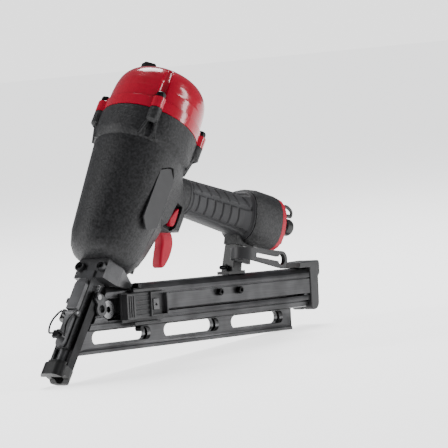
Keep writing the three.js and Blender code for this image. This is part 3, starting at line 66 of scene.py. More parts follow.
class Axes:
    """A frame with x forward along a group, y to the tool's right and z square to both."""

    def __init__(self, origin, x, z):
        """Stores the origin in metres and the unit directions x and z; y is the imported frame's y."""
        self.origin, self.x, self.z = (np.array(v, float) for v in (origin, x, z))
        self.y = np.array([0.0, 1.0, 0.0])

    def at(self, xyz):
        """Points in metres: origin + x X + y Y + z Z, for xyz in millimetres, shape (..., 3)."""
        x, y, z = np.split(np.asarray(xyz, float) * MM, 3, axis=-1)
        return self.origin + x * self.x + y * self.y + z * self.z

    def way(self, xyz):
        """A direction x X + y Y + z Z."""
        return xyz[0] * self.x + xyz[1] * self.y + xyz[2] * self.z

    def turned(self, place, degrees):
        """A frame at a place of this one, its x axis raised by an angle."""
        c, s = math.cos(math.radians(degrees)), math.sin(math.radians(degrees))
        return Axes(self.at(place), c * self.x + s * self.z, c * self.z - s * self.x)


joint = {j["name"]: j for j in frame["joints"]}
TRIGGER_PIVOT = (53, 202)
HANDLE_START, HANDLE_SLOPE = (76, 0, 244.6), 20
MAGAZINE_SLOPE = 34
HOOK_START, HOOK_SLOPE = (264, 0, 101), -10
up = np.array(joint["head_valve_lift"]["axis"])
back = np.array([up[2], 0, -up[0]])
pivot_place = np.array(joint["trigger_pull"]["pos_m"])
drive_origin = pivot_place - (TRIGGER_PIVOT[0] * back + TRIGGER_PIVOT[1] * up) * MM
drive = Axes(drive_origin, back, up)
handle = drive.turned(HANDLE_START, HANDLE_SLOPE)
magazine = drive.turned((0, 0, 0), MAGAZINE_SLOPE)
hook = magazine.turned(HOOK_START, HOOK_SLOPE)
print("drive origin", np.round(drive.origin, 4))

# %% [markdown]
# The camera stands low on the tool's left, about two and a half metres off, with a long lens, as a
# maker's catalogue would show it.

# %% Camera
camera_data = bpy.data.cameras.new("camera")
LENS_MM, SENSOR_MM = 208.9, 36
FAR_CLIP = 60
camera_data.lens = LENS_MM
camera_data.sensor_width = SENSOR_MM
camera = bpy.data.objects.new("camera", camera_data)
bpy.context.scene.collection.objects.link(camera)
camera_place = drive.at((-1552.3, -1603.4, -851.6))
camera_right = drive.way((0.5447, -0.7830, 0.3003))
camera_up = drive.way((-0.5221, -0.0364, 0.8522))
camera_back = np.cross(camera_right, camera_up)
camera.matrix_world = Matrix([
    (camera_right[i], camera_up[i], camera_back[i], camera_place[i]) for i in range(3)
] + [(0, 0, 0, 1)])
camera_data.clip_end = FAR_CLIP
bpy.context.scene.camera = camera
print("camera", np.round(camera_place, 3), "lens", LENS_MM)

# %% [markdown]
# A finish is a small recipe of shader nodes. Written as plain expressions it reads like the sentence
# it stands for, so one class wraps a socket and turns + - * into Math nodes.


# %% Shader sums as expressions
class Value:
    """A socket that can be added to, taken from and multiplied, by numbers or by other sockets."""

    def __init__(self, recipe, socket):
        """Keeps the recipe that the socket belongs to, so that sums can add nodes to it."""
        self.recipe, self.socket = recipe, socket

    def _with(self, operation, a, b):
        """One Math node that works out an operation on a and b."""
        return self.recipe.node("ShaderNodeMath", {"operation": operation}, {0: a, 1: b})

    def __add__(self, other):
        return self._with("ADD", self, other)

    def __sub__(self, other):
        return self._with("SUBTRACT", self, other)

    def __mul__(self, other):
        return self._with("MULTIPLY", self, other)

    def __rsub__(self, other):
        return self._with("SUBTRACT", other, self)

    __radd__ = __add__
    __rmul__ = __mul__

    def over(self, edge, width):
        """0 below edge, 1 above edge + width, smooth between."""
        settings = {"interpolation_type": "SMOOTHSTEP"}
        inputs = {0: self, 1: edge, 2: edge + width}
        return self.recipe.node("ShaderNodeMapRange", settings, inputs)


class Recipe:
    """A material and the one method that adds a node to it."""

    def __init__(self, name):
        """Makes the material and finds its one shader."""
        self.material = bpy.data.materials.new(name)
        self.material.use_nodes = True
        self.tree = self.material.node_tree
        self.shader = self.tree.nodes["Principled BSDF"]

    def node(self, kind, settings=None, inputs=None, out=0):
        """Adds a node: its settings first, then numbers or links for its inputs; gives one output."""
        made = self.tree.nodes.new(kind)
        for key, value in (settings or {}).items():
            setattr(made, key, value)
        for key, value in (inputs or {}).items():
            if isinstance(value, Value):
                self.tree.links.new(value.socket, made.inputs[key])
            else:
                made.inputs[key].default_value = value
        return Value(self, made.outputs[out])

    def place(self, scale=(1, 1, 1), turn=(0, 0, 0)):
        """Object coordinates, turned about the axes in degrees, then scaled."""
        here = self.node("ShaderNodeTexCoord", out=3)
        settings = {"vector_type": "TEXTURE"}
        angles = tuple(math.radians(a) for a in turn)
        turned = self.node("ShaderNodeMapping", settings, {"Vector": here, "Rotation": angles})
        inputs = {"Vector": turned, "Scale": scale}
        return self.node("ShaderNodeMapping", {"vector_type": "POINT"}, inputs)

    def noise(self, size, detail=2, vector=None):
        """Noise from 0 to 1 with grains about size millimetres across."""
        vector = vector or self.place()
        inputs = {"Vector": vector, "Scale": 1 / (size * MM), "Detail": detail}
        return self.node("ShaderNodeTexNoise", {}, inputs)

    def blend(self, share, low, high):
        """The colour low where share is 0 and high where it is 1."""
        colours = {6: (*low, 1), 7: (*high, 1)}
        return self.node("ShaderNodeMix", {"data_type": "RGBA"}, {0: share, **colours}, out=2)

    def relief(self, height, depth):
        """A Bump node for a height from 0 to 1 that stands for depth millimetres."""
        inputs = {"Height": height, "Distance": depth * MM, "Strength": RELIEF_STRENGTH}
        self.put("Normal", self.node("ShaderNodeBump", {}, inputs))

    def put(self, socket, value):
        """Sets one of the shader's own sockets to a number or colour, or links it."""
        if isinstance(value, Value):
            self.tree.links.new(value.socket, self.shader.inputs[socket])
        else:
            self.shader.inputs[socket].default_value = value


# %% [markdown]
# **Finishes.** Most faults of a computer model are faults of finish: real surfaces are never one
# colour. Each recipe below has three things, a slow drift of tone, a fine grain that scatters the
# gloss, and a relief at the size that the real process leaves.


# %% Finishes of paint, castings, rubber, plastic and metal
finishes = {}
DRIFT_SHARE, GRAIN_SHARE = 0.65, 0.35
TONE_EDGE, TONE_WIDTH = 0.32, 0.36
GRAIN_DETAIL = 3
COAT_ROUGHNESS = 0.08
RELIEF_STRENGTH = 0.9


def finish(name, dark, light, rough, metal, grain, depth, drift=26, coat=0.0, shine=0.5,
           stretch=(1, 1, 1), turn=0):
    """A finish: tone drifts from dark to light over drift mm, grain mm wide relief is depth mm deep.

    tone = 0.65 drift + 0.35 grain, eased;  roughness = rough[0] + (rough[1] - rough[0]) grain
    """
    recipe = Recipe(name)
    slow = recipe.noise(drift)
    fine = recipe.noise(grain, GRAIN_DETAIL, recipe.place(stretch, (0, turn, 0)))
    tone = (DRIFT_SHARE * slow + GRAIN_SHARE * fine).over(TONE_EDGE, TONE_WIDTH)
    recipe.put("Base Color", recipe.blend(tone, dark, light))
    recipe.put("Roughness", rough[0] + (rough[1] - rough[0]) * fine)
    recipe.put("Metallic", metal)
    recipe.put("Specular IOR Level", shine)
    recipe.put("Coat Weight", coat)
    recipe.put("Coat Roughness", COAT_ROUGHNESS)
    recipe.relief(fine, depth)
    finishes[name] = recipe.material


ALONG = math.degrees(math.atan2(-magazine.x[2], magazine.x[0]))
DRAWN = (0.02, 1, 1)  # grain stretched fifty times along the rail, as drawing leaves it
finish("cap_red", (0.26, 0.0012, 0.012), (0.32, 0.002, 0.017), (0.16, 0.22), 0.0, 3.5, 0.012,
       coat=0.3, drift=40, shine=0.3)
finish("satin_red", (0.26, 0.002, 0.014), (0.33, 0.003, 0.020), (0.42, 0.55), 0.0, 0.5, 0.02,
       shine=0.2)
finish("body_black", (0.0006, 0.0006, 0.0007), (0.016, 0.016, 0.017), (0.3, 0.75), 0.0, 2.0, 0.6,
       drift=2.4, shine=0.3)
finish("nose_steel", (0.022, 0.022, 0.023), (0.055, 0.055, 0.057), (0.30, 0.5), 0.7, 0.6, 0.07)
finish("cover_grey", (0.05, 0.05, 0.052), (0.10, 0.10, 0.103), (0.36, 0.5), 0.6, 0.4, 0.04)
finish("rail_grey", (0.026, 0.026, 0.027), (0.06, 0.06, 0.062), (0.26, 0.4), 0.8, 0.9, 0.02,
       stretch=DRAWN, turn=ALONG)
finish("grip_rubber", (0.010, 0.010, 0.011), (0.022, 0.022, 0.024), (0.5, 0.75), 0.0, 0.35, 0.05,
       shine=0.35)
finish("dark_rubber", (0.002, 0.002, 0.002), (0.006, 0.006, 0.006), (0.28, 0.5), 0.0, 0.5, 0.06,
       shine=0.35)
finish("grey_plastic", (0.009, 0.009, 0.010), (0.020, 0.020, 0.021), (0.38, 0.55), 0.0, 0.45, 0.03,
       shine=0.35)
finish("black_plastic", (0.002, 0.002, 0.002), (0.007, 0.007, 0.007), (0.28, 0.5), 0.0, 0.45, 0.03,
       shine=0.3)
finish("steel", (0.13, 0.13, 0.133), (0.24, 0.24, 0.245), (0.18, 0.34), 1.0, 0.5, 0.01)
finish("chrome", (0.62, 0.63, 0.65), (0.80, 0.81, 0.82), (0.05, 0.13), 1.0, 2.5, 0.002, coat=0.2)
finish("black_steel", (0.004, 0.004, 0.004), (0.016, 0.016, 0.017), (0.2, 0.38), 0.85, 0.4, 0.02)
print("finishes", sorted(finishes))

# %% [markdown]
# **Surfaces.** A piece is a function of two parameters on a grid. The grid's points are worked out
# as one array, welded where it closes on itself or runs to a pole, and turned so that it faces out.


# %% From arrays to pieces
SHARP = math.radians(38)
SOFT = math.radians(60)
CRISP = math.radians(30)
WELD = 2e-6  # metres between points that are one


def piece(name, mesh, node):
    """Puts a mesh into the scene as a piece of the node's body, with the node's finish."""
    obj = bpy.data.objects.new(name, mesh)
    bpy.context.scene.collection.objects.link(obj)
    slot = slot_of_node[node]
    mesh.materials.clear()
    mesh.materials.append(finishes[slot])
    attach(obj, body_of_node[node])
    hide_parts(node)
    return obj


def welded(mesh, smooth_below=SHARP):
    """Merges points that share a place, faces the skin outwards and smooths all but its sharp edges."""
    work = bmesh.new()
    work.from_mesh(mesh)
    bmesh.ops.remove_doubles(work, verts=work.verts, dist=WELD)
    bmesh.ops.dissolve_degenerate(work, edges=work.edges, dist=1e-7)
    bmesh.ops.recalc_face_normals(work, faces=work.faces)
    if work.calc_volume(signed=True) < 0:
        bmesh.ops.reverse_faces(work, faces=work.faces)
    work.to_mesh(mesh)
    work.free()
    mesh.shade_smooth()
    mesh.set_sharp_from_angle(angle=smooth_below)
    return mesh


def skin(name, grid, smooth_below=SHARP, ends=True):
    """A closed skin from a grid of points (rings, points round, 3): each ring closes on itself.

    The first and last rings are filled: each is either one point or a flat loop. Without ends, the
    last ring meets the first.
    """
    rings, round_ = grid.shape[:2]
    corner = np.arange(rings * round_).reshape(rings, round_)
    a, b = corner[:-1], corner[1:]
    quads = np.stack([a, np.roll(a, -1, 1), np.roll(b, -1, 1), b], -1).reshape(-1, 4)
    mesh = bpy.data.meshes.new(name)
    lids = [corner[0][::-1].tolist(), corner[-1].tolist()] if ends else []
    mesh.from_pydata(grid.reshape(-1, 3).tolist(), [], quads.tolist() + lids)
    return welded(mesh, smooth_below)


def eased(points, radius, steps=5):
    """A polyline with each corner P rounded: (1-t)^2 A + 2t(1-t) P + t^2 B.

    A and B lie radius away from P on its two sides, or just short of half a shorter side.
    """
    points = np.asarray(points, float)
    before, after = np.roll(points, 1, 0), np.roll(points, -1, 0)
    sides = [q - points for q in (before, after)]
    lengths = [np.linalg.norm(side, axis=1) for side in sides]
    reach = [np.minimum(radius, 0.48 * length) for length in lengths]
    way = [side / np.maximum(length, 1e-9)[:, None] for side, length in zip(sides, lengths)]
    start, end = (points + w * r[:, None] for w, r in zip(way, reach))
    t = np.linspace(0, 1, steps)[None, :, None]
    arcs = (1 - t) ** 2 * start[:, None] + 2 * t * (1 - t) * points[:, None]
    arcs = arcs + t ** 2 * end[:, None]
    middle = arcs[1:-1].reshape(-1, points.shape[1])
    return np.concatenate([points[:1], middle, points[-1:]])


def lathe(profile, segments=48, radius=0.35, steps=4):
    """Points (r cos a, r sin a, h) of a profile of [r, h] with eased corners."""
    r, h = eased(profile, radius, steps).T
    a = np.linspace(0, 2 * np.pi, segments, endpoint=False)
    rows = np.repeat(h[:, None], segments, 1)
    return np.stack([r[:, None] * np.cos(a), r[:, None] * np.sin(a), rows], -1)


def facing(direction, place, grid):
    """A grid turned so that its z runs along x, y or -x or -y of its frame, then moved to a place."""
    x, y, z = np.moveaxis(grid, -1, 0)
    turned = {
        "z": (x, y, z), "x": (z, y, -x), "-x": (-z, y, x), "y": (x, z, -y), "-y": (x, -z, y),
    }
    return np.stack(turned[direction], -1) + np.array(place, float)


def tube(path, section, flat):
    """Sweeps a section along a path: P + s N + b B, with N = T x flat and B = N x T."""
    path = np.asarray(path, float)
    along = np.gradient(path, axis=0)
    along /= np.linalg.norm(along, axis=1)[:, None]
    side = np.cross(along, np.broadcast_to(flat, path.shape))
    side /= np.linalg.norm(side, axis=1)[:, None]
    rise = np.cross(side, along)
    across, upward = section[None, :, :1], section[None, :, 1:]
    return path[:, None] + across * side[:, None] + upward * rise[:, None]


def circle(radius, sides=12, flatness=1.0):
    """A ring of points: (radius cos a, flatness radius sin a)."""
    a = np.linspace(0, 2 * np.pi, sides, endpoint=False)
    return np.stack([radius * np.cos(a), flatness * radius * np.sin(a)], -1)


def through(points, count):
    """A smooth curve of count points through the given ones, blended from four neighbours a to d.

    0.5 (2b + (c - a) t + (2a - 5b + 4c - d) t^2 + (3b - a - 3c + d) t^3), the Catmull-Rom curve
    """
    points = np.asarray(points, float)
    padded = np.concatenate([2 * points[:1] - points[1:2], points, 2 * points[-1:] - points[-2:-1]])
    u = np.linspace(0, len(points) - 1, count)
    i = np.minimum(u.astype(int), len(points) - 2)
    t = (u - i)[:, None]
    a, b, c, d = (padded[i + k] for k in range(4))
    square = (2 * a - 5 * b + 4 * c - d) * t ** 2
    cube = (3 * b - a - 3 * c + d) * t ** 3
    return 0.5 * (2 * b + (c - a) * t + square + cube)


# %% [markdown]
# Many nodes already have the right shape, but their edges are razor sharp. A real casting or
# moulding has none, and its edges are what catch the light. `dressed` copies such a node, merges its
# triangles into flat faces and rolls every sharp edge over a small radius.


# %% Rounding the edges of nodes that keep their shape
ROLLED_ABOVE = math.radians(32)
FLAT_BELOW = math.radians(2)


def dressed(node, edge):
    """A copy of a node with its sharp edges rolled over edge millimetres."""
    mesh = nodes[node].data.copy()
    work = bmesh.new()
    work.from_mesh(mesh)
    bmesh.ops.remove_doubles(work, verts=work.verts, dist=WELD)
    bmesh.ops.dissolve_limit(work, angle_limit=FLAT_BELOW, verts=work.verts, edges=work.edges)
    work.to_mesh(mesh)
    work.free()
    mesh.shade_smooth()
    mesh.set_sharp_from_angle(angle=ROLLED_ABOVE)
    bevel = piece(node + "_skin", mesh, node).modifiers.new("edges", "BEVEL")
    bevel.width, bevel.segments = edge * MM, 2
    bevel.limit_method, bevel.angle_limit = "ANGLE", ROLLED_ABOVE
    bevel.use_clamp_overlap = True
    bevel.harden_normals = True


# %% [markdown]
# **The cap.** A die-cast cap closes the air chamber, painted red. Its dome is turned, and above each
# screw a flute runs up it that lets the hex key reach the screw. Seen from above each level is one
# closed line, so the cap is a single surface r(a, h): the dome's radius, raised where a screw's boss
# stands out of it, and cut back where a flute's circle reaches in.

# %% The cap
CAP_FOOT, CAP_HEIGHT = 273.2, 55
SCREW_CIRCLE = 48.5
BOSS_RADIUS, BOSS_ROLL, BOSS_TOP = 6.3, 0.4, 11.2
POCKET_RADIUS, POCKET_FLOOR, POCKET_TOP = 5.2, 11.4, 24
MEETS_NONE = 1e3  # stands for a radius past the whole cap
diagonal = np.radians([45, 135, 225, 315])


def circle_from_axis(offset, distance, radius, sign):
    """Radius at which a ray, offset radians from a circle's centre line, meets the circle.

    c cos a + sign sqrt(p^2 - c^2 sin^2 a), for a circle of radius p at distance c
    """
    inside = radius ** 2 - (distance * np.sin(offset)) ** 2
    hit = distance * np.cos(offset) + sign * np.sqrt(np.maximum(inside, 0))
    return np.where((inside > 0) & (radius > 0), hit, -MEETS_NONE * sign)


dome = np.array([
    (0, 0), (48.5, 0), (48.5, 10.9), (48.1, 11.3), (46.9, 11.6), (46.5, 12.6), (46.3, 18),
    (46.1, 24), (45.9, 24.8), (45.2, 32), (44.4, 36), (43.4, 40), (41.9, 43.4), (40, 46.4),
    (37.6, 49), (34.6, 51.3), (31, 53.1), (27, 54.4), (22.5, 55), (21.5, 54.8), (21, 54.6),
    (0, 54.6),
])
hollow = np.array([
    (38.8, 0), (38.8, 24.8), (34.8, 39), (24.8, 49), (11.5, 49), (11.5, 8), (0, 8),
])
levels = np.concatenate([dome[1:8], through(dome[8:19], 60), dome[19:21]])
extra = np.array([(46.5, 11.65), (46.1, 23.95), (46.1, 24.05)])
levels = np.concatenate([levels, extra])
levels = levels[np.argsort(levels[:, 1], kind="stable")]
turn = np.linspace(0, 2 * np.pi, 480, endpoint=False)
offset = np.abs((turn[:, None] - diagonal + np.pi) % (2 * np.pi) - np.pi).min(1)
radius_at, height = levels[:, :1], levels[:, 1:]
flute_middle = np.interp(height, [11, 34.1, 47.3, 50.5], [49.1, 47, 40.5, 38.9])
flute_radius = np.interp(height, [11, 34.1, 47.3, 49, 50, 50.6], [5.6, 5, 3.6, 2.9, 1.8, 0])
flute_radius = flute_radius * (height > BOSS_TOP)
flute = circle_from_axis(offset[None], flute_middle, flute_radius, -1)
boss_radius = np.where(height < BOSS_TOP, BOSS_RADIUS - BOSS_ROLL * (height > 10.95), 0)
boss = circle_from_axis(offset[None], SCREW_CIRCLE, boss_radius, 1)
in_pocket = (height > POCKET_FLOOR) & (height < POCKET_TOP)
pocket_radius = np.where(in_pocket, POCKET_RADIUS, 0)
pocket = circle_from_axis(offset[None], SCREW_CIRCLE, pocket_radius, -1)
cut_back = np.minimum(flute, pocket)
drop = np.clip(radius_at - cut_back, -4, None)
soft_edge = 0.25 * (np.sqrt(drop ** 2 + 0.8) - np.abs(drop)) * (drop > -4) * (height > 12)
radius_all = np.minimum(np.maximum(radius_at, boss), cut_back) - soft_edge
rows = np.repeat(height, len(turn), 1)
outer = np.stack([radius_all * np.cos(turn), radius_all * np.sin(turn), rows], -1)
round_ = np.stack([np.cos(turn), np.sin(turn), 0 * turn], -1)
upright = np.array([0, 0, 1.0])
inner = hollow[::-1, :1, None] * round_ + hollow[::-1, 1:, None] * upright
crown = dome[-1:, :1, None] * round_ + dome[-1:, 1:, None] * upright
cap_grid = np.concatenate([inner, outer, crown]) + [0, 0, CAP_FOOT]
piece("cap_shell", skin("cap_shell", drive.at(cap_grid), CRISP), "cap")
print("cap", cap_grid.shape)

# %% [markdown]
# **Screws.** Fourteen socket head screws hold the tool together. One profile serves them all: a
# shank, a head with a rolled edge, and a six-sided well. The well is the same lathe with six sides,
# its flat floor closing the surface.

# %% Socket head screws
SCREW_SIDES = 48
WELL_SHARE = 0.52
# head radius, head height, shank radius, shank length
CAP_SIZE = (4.7, 6, 2.5, 26)
END_SIZE = (3, 3, 1.8, 16)
NOSE_SIZE = (3.4, 4, 2, 12)
RAIL_SIZE = (3.6, 4.5, 2, 7)
HOOK_SIZE = (4.6, 3.6, 2.5, 13)
SWIVEL_SIZE = (3, 2.6, 1.3, 16)


def socket_screw(name, node, axes, place, direction, size):
    """A screw with its seat at a place, its head along a direction.

    Rings of radius r(h); the well's are well cos 30 / cos((a + 30) mod 60 - 30), well = 0.52 head
    """
    head, tall, shank, length = size
    well = WELL_SHARE * head
    a = np.linspace(0, 2 * np.pi, SCREW_SIDES, endpoint=False)
    hexed = np.cos(np.pi / 6) / np.cos((a + np.pi / 6) % (np.pi / 3) - np.pi / 6)
    outline = eased([
        (0, -length), (shank * 0.8, -length), (shank, -length + 0.6), (shank, 0), (head, 0),
        (head, tall * 0.8), (head * 0.86, tall), (well * 1.25, tall),
    ], 0.3, 4)
    r = np.repeat(outline[:, :1], SCREW_SIDES, 1)
    h = np.repeat(outline[:, 1:], SCREW_SIDES, 1)
    socket = [
        (1.12, tall), (1.0, tall * 0.92), (0.98, tall * 0.45), (0.4, tall * 0.4), (0, tall * 0.4),
    ]
    r = np.concatenate([r, [well * k * hexed for k, _ in socket]])
    h = np.concatenate([h, [np.full(SCREW_SIDES, z) for _, z in socket]])
    grid = facing(direction, place, np.stack([r * np.cos(a), r * np.sin(a), h], -1))
    piece(name, skin(name, axes.at(grid), CRISP), node)


CAP_SEAT, CAP_PLATE = CAP_FOOT + 11.3, CAP_FOOT + CAP_HEIGHT + 3.8
for i, a in enumerate(diagonal):
    place = (SCREW_CIRCLE * math.cos(a), SCREW_CIRCLE * math.sin(a), CAP_SEAT)
    socket_screw(f"cap_bolt_{i + 1}", f"cap_screw_{i + 1}", drive, place, "z", CAP_SIZE)
END_FACE = 128.3
END_SEAT = END_FACE + 7.3
for i, (y, z) in enumerate([(-16, 17), (16, 17), (-16, -17), (16, -17)]):
    place = (END_SEAT, y, z)
    socket_screw(f"end_bolt_{i + 1}", f"end_cap_screw_{i + 1}", handle, place, "x", END_SIZE)
for i, y in enumerate((-13, 13)):
    place = (-6.4, y, 116)
    socket_screw(f"nose_bolt_{i + 1}", f"nose_screw_{i + 1}", drive, place, "-x", NOSE_SIZE)
for i, along in enumerate((231, 262.5)):
    place = (along, -12.3, 66)
    socket_screw(f"rail_bolt_{i + 1}", f"magazine_screw_{i + 1}", magazine, place, "-y", RAIL_SIZE)
socket_screw("hook_clamp_bolt", "hook_bolt", hook, (6, -12.1, 0), "-y", HOOK_SIZE)
socket_screw("swivel_bolt", "deflector_screw", drive, (0, 0, CAP_PLATE), "z", SWIVEL_SIZE)
print("screws done")

# %% [markdown]
# **The grip.** A rubber sleeve is moulded over the handle. Its section is a rounded box, the
# superellipse |y/a|^n + |z/b|^n = 1, and each flank has two rows of raised panels with grooves between
# them. The grooves are pressed into the surface as shallow dips, so they catch real light.

# %% The grip sleeve
GRIP_START, GRIP_END = -9, 88
GRIP_HALF_WIDTH, GRIP_HALF_HEIGHT = 16.5, 18
WIDTH_GROWTH, HEIGHT_GROWTH = 1, 3.2
GRIP_WALL = 2.6
PANEL_GROOVE, END_GROOVE = 1.25, 0.8  # depths
GROOVE_WIDTH = 2.6
FLARE_PLACES, FLARE_RISE = (76, 83.2, 88), (0, 1.93, 5.5)


def superellipse(half_width, half_height, a, n=2.5):
    """y = sgn(cos a) |cos a|^(2/n) A, z = sgn(sin a) |sin a|^(2/n) B."""
    c, s = np.cos(a), np.sin(a)
    y = np.sign(c) * np.abs(c) ** (2 / n) * half_width
    z = np.sign(s) * np.abs(s) ** (2 / n) * half_height
    return y, z


def dip(x, middle, width):
    """1 in a groove of a width at the middle, 0 away from it: 1 - t^2 (3 - 2t), t up its walls."""
    t = np.clip((np.abs(x - middle) - width * 0.3) / (width * 0.45), 0, 1)
    return 1 - t * t * (3 - 2 * t)


def sleeve_point(s, a, sink):
    """A point of the sleeve at s along the handle and angle a, sunk by some millimetres.

    Half sizes are 16.5 + s/88 and 18 + 3.2 s/88, plus the flare's rise, less the sink
    """
    share = np.clip(s / GRIP_END, 0, 1)
    rise = np.interp(s, FLARE_PLACES, FLARE_RISE)
    half_width = GRIP_HALF_WIDTH + WIDTH_GROWTH * share + rise - sink
    half_height = GRIP_HALF_HEIGHT + HEIGHT_GROWTH * share + rise - sink
    y, z = superellipse(half_width, half_height, a)
    return np.stack([s + 0 * y, y, z], -1)


def grip_grid(rows=300, round_=240):
    """The sleeve's outside with its moulded grooves, then its inside.

    sink = the deepest dip at a point: 1.25 in the grooves between panels, 0.8 in the end rings
    """
    s = np.linspace(GRIP_START, GRIP_END, rows)[:, None]
    a = np.linspace(0, 2 * np.pi, round_, endpoint=False)[None]
    lift = np.sin(a)
    flank = np.abs(np.cos(a)) > 0.25
    split = dip(lift, 0.18, 0.16)
    slants = [dip(s + 14 * lift, k, GROOVE_WIDTH) for k in np.arange(12, 90, 14.5)]
    slanted = (lift > 0.2) * np.max(slants, 0)
    bars = [dip(s, k, GROOVE_WIDTH) for k in np.arange(4, 78, 12.5)]
    upright = (lift < 0.16) * (lift > -0.75) * np.max(bars, 0)
    border = np.max([dip(lift, k, 0.14) for k in (0.86, -0.78)], 0)
    ends = np.maximum(dip(s, GRIP_START + 4, 2.4), dip(s, GRIP_END - 3, 2.4))
    within = (s > GRIP_START + 4) * (s < GRIP_END - 3)
    kinds = [kind * within for kind in (split, slanted, upright, border)]
    grooves = np.max(np.broadcast_arrays(*kinds), 0)
    depth = PANEL_GROOVE * grooves * flank + END_GROOVE * ends
    edge = 1.0 * (1 - np.clip(np.minimum(s - GRIP_START, GRIP_END - s) / 1.2, 0, 1)) ** 2
    outside = sleeve_point(s, a, np.maximum(depth, edge))
    wall = np.linspace(GRIP_END, GRIP_START, 6)[:, None]
    lining = sleeve_point(wall, a, GRIP_WALL + np.interp(wall, FLARE_PLACES, FLARE_RISE))
    return np.concatenate([outside, lining, outside[:1]])


grip_skin = skin("grip_rubber_sleeve", handle.at(grip_grid()), SOFT, ends=False)
piece("grip_rubber_sleeve", grip_skin, "grip_sleeve")
print("grip from", GRIP_START, "to", GRIP_END, "points", len(grip_skin.vertices))

# %% [markdown]
# **The air inlet.** The plug is turned and plated brass or steel, with a hexagon for the spanner. A
# soft dust cap sits on its nipple, and its strap is looped back to a boss on the end cap.

# %% Plug, dust cap and strap
PLUG_LIFT = 4
PLUG_FOOT = END_FACE - 2
PLUG_TIP = PLUG_FOOT + 41
HEX_RADIUS = 8.5
HEX_SIDES = 96
stem = [
    (3.4, 0), (6.2, 0), (6.2, 12.3), (6.9, 12.5), (6.9, 20), (4.6, 21.5), (4.6, 26), (6, 27),
    (6, 31), (5, 33), (5, 40), (4.4, 41), (3.4, 41), (3.4, 0),
]
stem_grid = facing("x", (PLUG_FOOT, 0, PLUG_LIFT), lathe(stem, 56, 0.4))
piece("plug_stem", skin("plug_stem", handle.at(stem_grid), ends=False), "air_plug")
around = np.linspace(0, 2 * np.pi, HEX_SIDES, endpoint=False)
to_flat = (around + np.pi / 6) % (np.pi / 3) - np.pi / 6
hex_radius = HEX_RADIUS * np.cos(np.pi / 6) / np.cos(to_flat)
hex_rows = [(0.82, 12.5), (0.97, 13.1), (1, 13.5), (1, 17), (0.97, 17.4), (0.82, 18)]
chamfer = [k * HEX_RADIUS / 0.97 if k < 1 else MEETS_NONE for k, _ in hex_rows]
hex_r = np.minimum(np.array(chamfer)[:, None], hex_radius)
hex_h = np.array([np.full(HEX_SIDES, h) for _, h in hex_rows])
hex_points = np.stack([hex_r * np.cos(around), hex_r * np.sin(around), hex_h], -1)
hex_grid = facing("x", (PLUG_FOOT, 0, PLUG_LIFT), hex_points)
piece("plug_hexagon", skin("plug_hexagon", handle.at(hex_grid)), "air_plug")
cup = [
    (0, PLUG_TIP + 0.6), (6.4, PLUG_TIP + 0.6), (6.4, PLUG_TIP - 8), (8.8, PLUG_TIP - 8),
    (8.8, PLUG_TIP + 1), (7.6, PLUG_TIP + 2.4), (0, PLUG_TIP + 2.4),
]
cup_grid = facing("x", (0, 0, PLUG_LIFT), lathe(cup, 48, 0.5))
piece("dust_cap_cup", skin("dust_cap_cup", handle.at(cup_grid)), "dust_cap")
strap_start, strap_end = (END_FACE + 18.6, 0, 17), (PLUG_TIP - 5, 0, PLUG_LIFT + 11.1)
strap_path = through([
    strap_start, (strap_start[0] + 3, 0, 18), (strap_start[0] + 9, 0, 22),
    (strap_start[0] + 17, 0, 25), (PLUG_TIP + 5, 0, 22), (PLUG_TIP + 5.5, 0, 17),
    (PLUG_TIP + 1, 0, strap_end[2] + 1), strap_end,
], 72)
strap_grid = tube(strap_path, circle(2.0, 16, 0.6), (0, 1, 0))
piece("dust_cap_loop", skin("dust_cap_loop", handle.at(strap_grid), SOFT), "dust_cap_strap")
print("strap points", strap_grid.shape)

# %% [markdown]
# **Trigger and selector.** Both are moulded in red. Each is an outline given some thickness: the
# outline shrinks by r (1 - sin t) as it nears a face, t from 0 to 90 degrees, which rolls the edge.

# %% A slab with rolled edges
def slab(outline, low, high, roll, steps=6):
    """Rings of a closed outline in x and z, from y = low to y = high, its edges rolled by r = roll.

    Ring t, from 0 to 90 degrees: sunk by r (1 - sin t) at y = low + r (1 - cos t), then mirrored
    """
    outline = np.asarray(outline, float)
    along = np.roll(outline, -1, 0) - np.roll(outline, 1, 0)
    along /= np.maximum(np.linalg.norm(along, axis=1), 1e-9)[:, None]
    normal = np.stack([along[:, 1], -along[:, 0]], -1)
    (x, z), (next_x, next_z) = outline.T, np.roll(outline, -1, 0).T
    normal *= np.sign(np.sum(x * next_z - next_x * z))
    t = np.linspace(0, np.pi / 2, steps)
    sink = roll * (1 - np.sin(t))
    y = low + roll * (1 - np.cos(t))
    sink = np.concatenate([sink, sink[::-1]])
    y = np.concatenate([y, (low + high) - y[::-1]])
    flat = outline[None] - sink[:, None, None] * normal[None]
    return np.stack([flat[..., 0], np.repeat(y[:, None], len(outline), 1), flat[..., 1]], -1)


def bowed(start, *arcs, steps=9):
    """Points of curves (1-t)^2 P + 2t(1-t) C + t^2 Q, given start and then pairs of C and Q."""
    t = np.linspace(0, 1, steps)[1:, None]
    points = [np.array([start], float)]
    for control, end in arcs:
        begin = points[-1][-1]
        bend, far = 2 * t * (1 - t) * np.array(control), t ** 2 * np.array(end)
        points.append((1 - t) ** 2 * begin + bend + far)
    return np.concatenate(points)


def by_pivot(*pairs):
    """Places given from the trigger's pivot, as places on the drive."""
    return [tuple(np.add(p, TRIGGER_PIVOT)) for p in pairs]


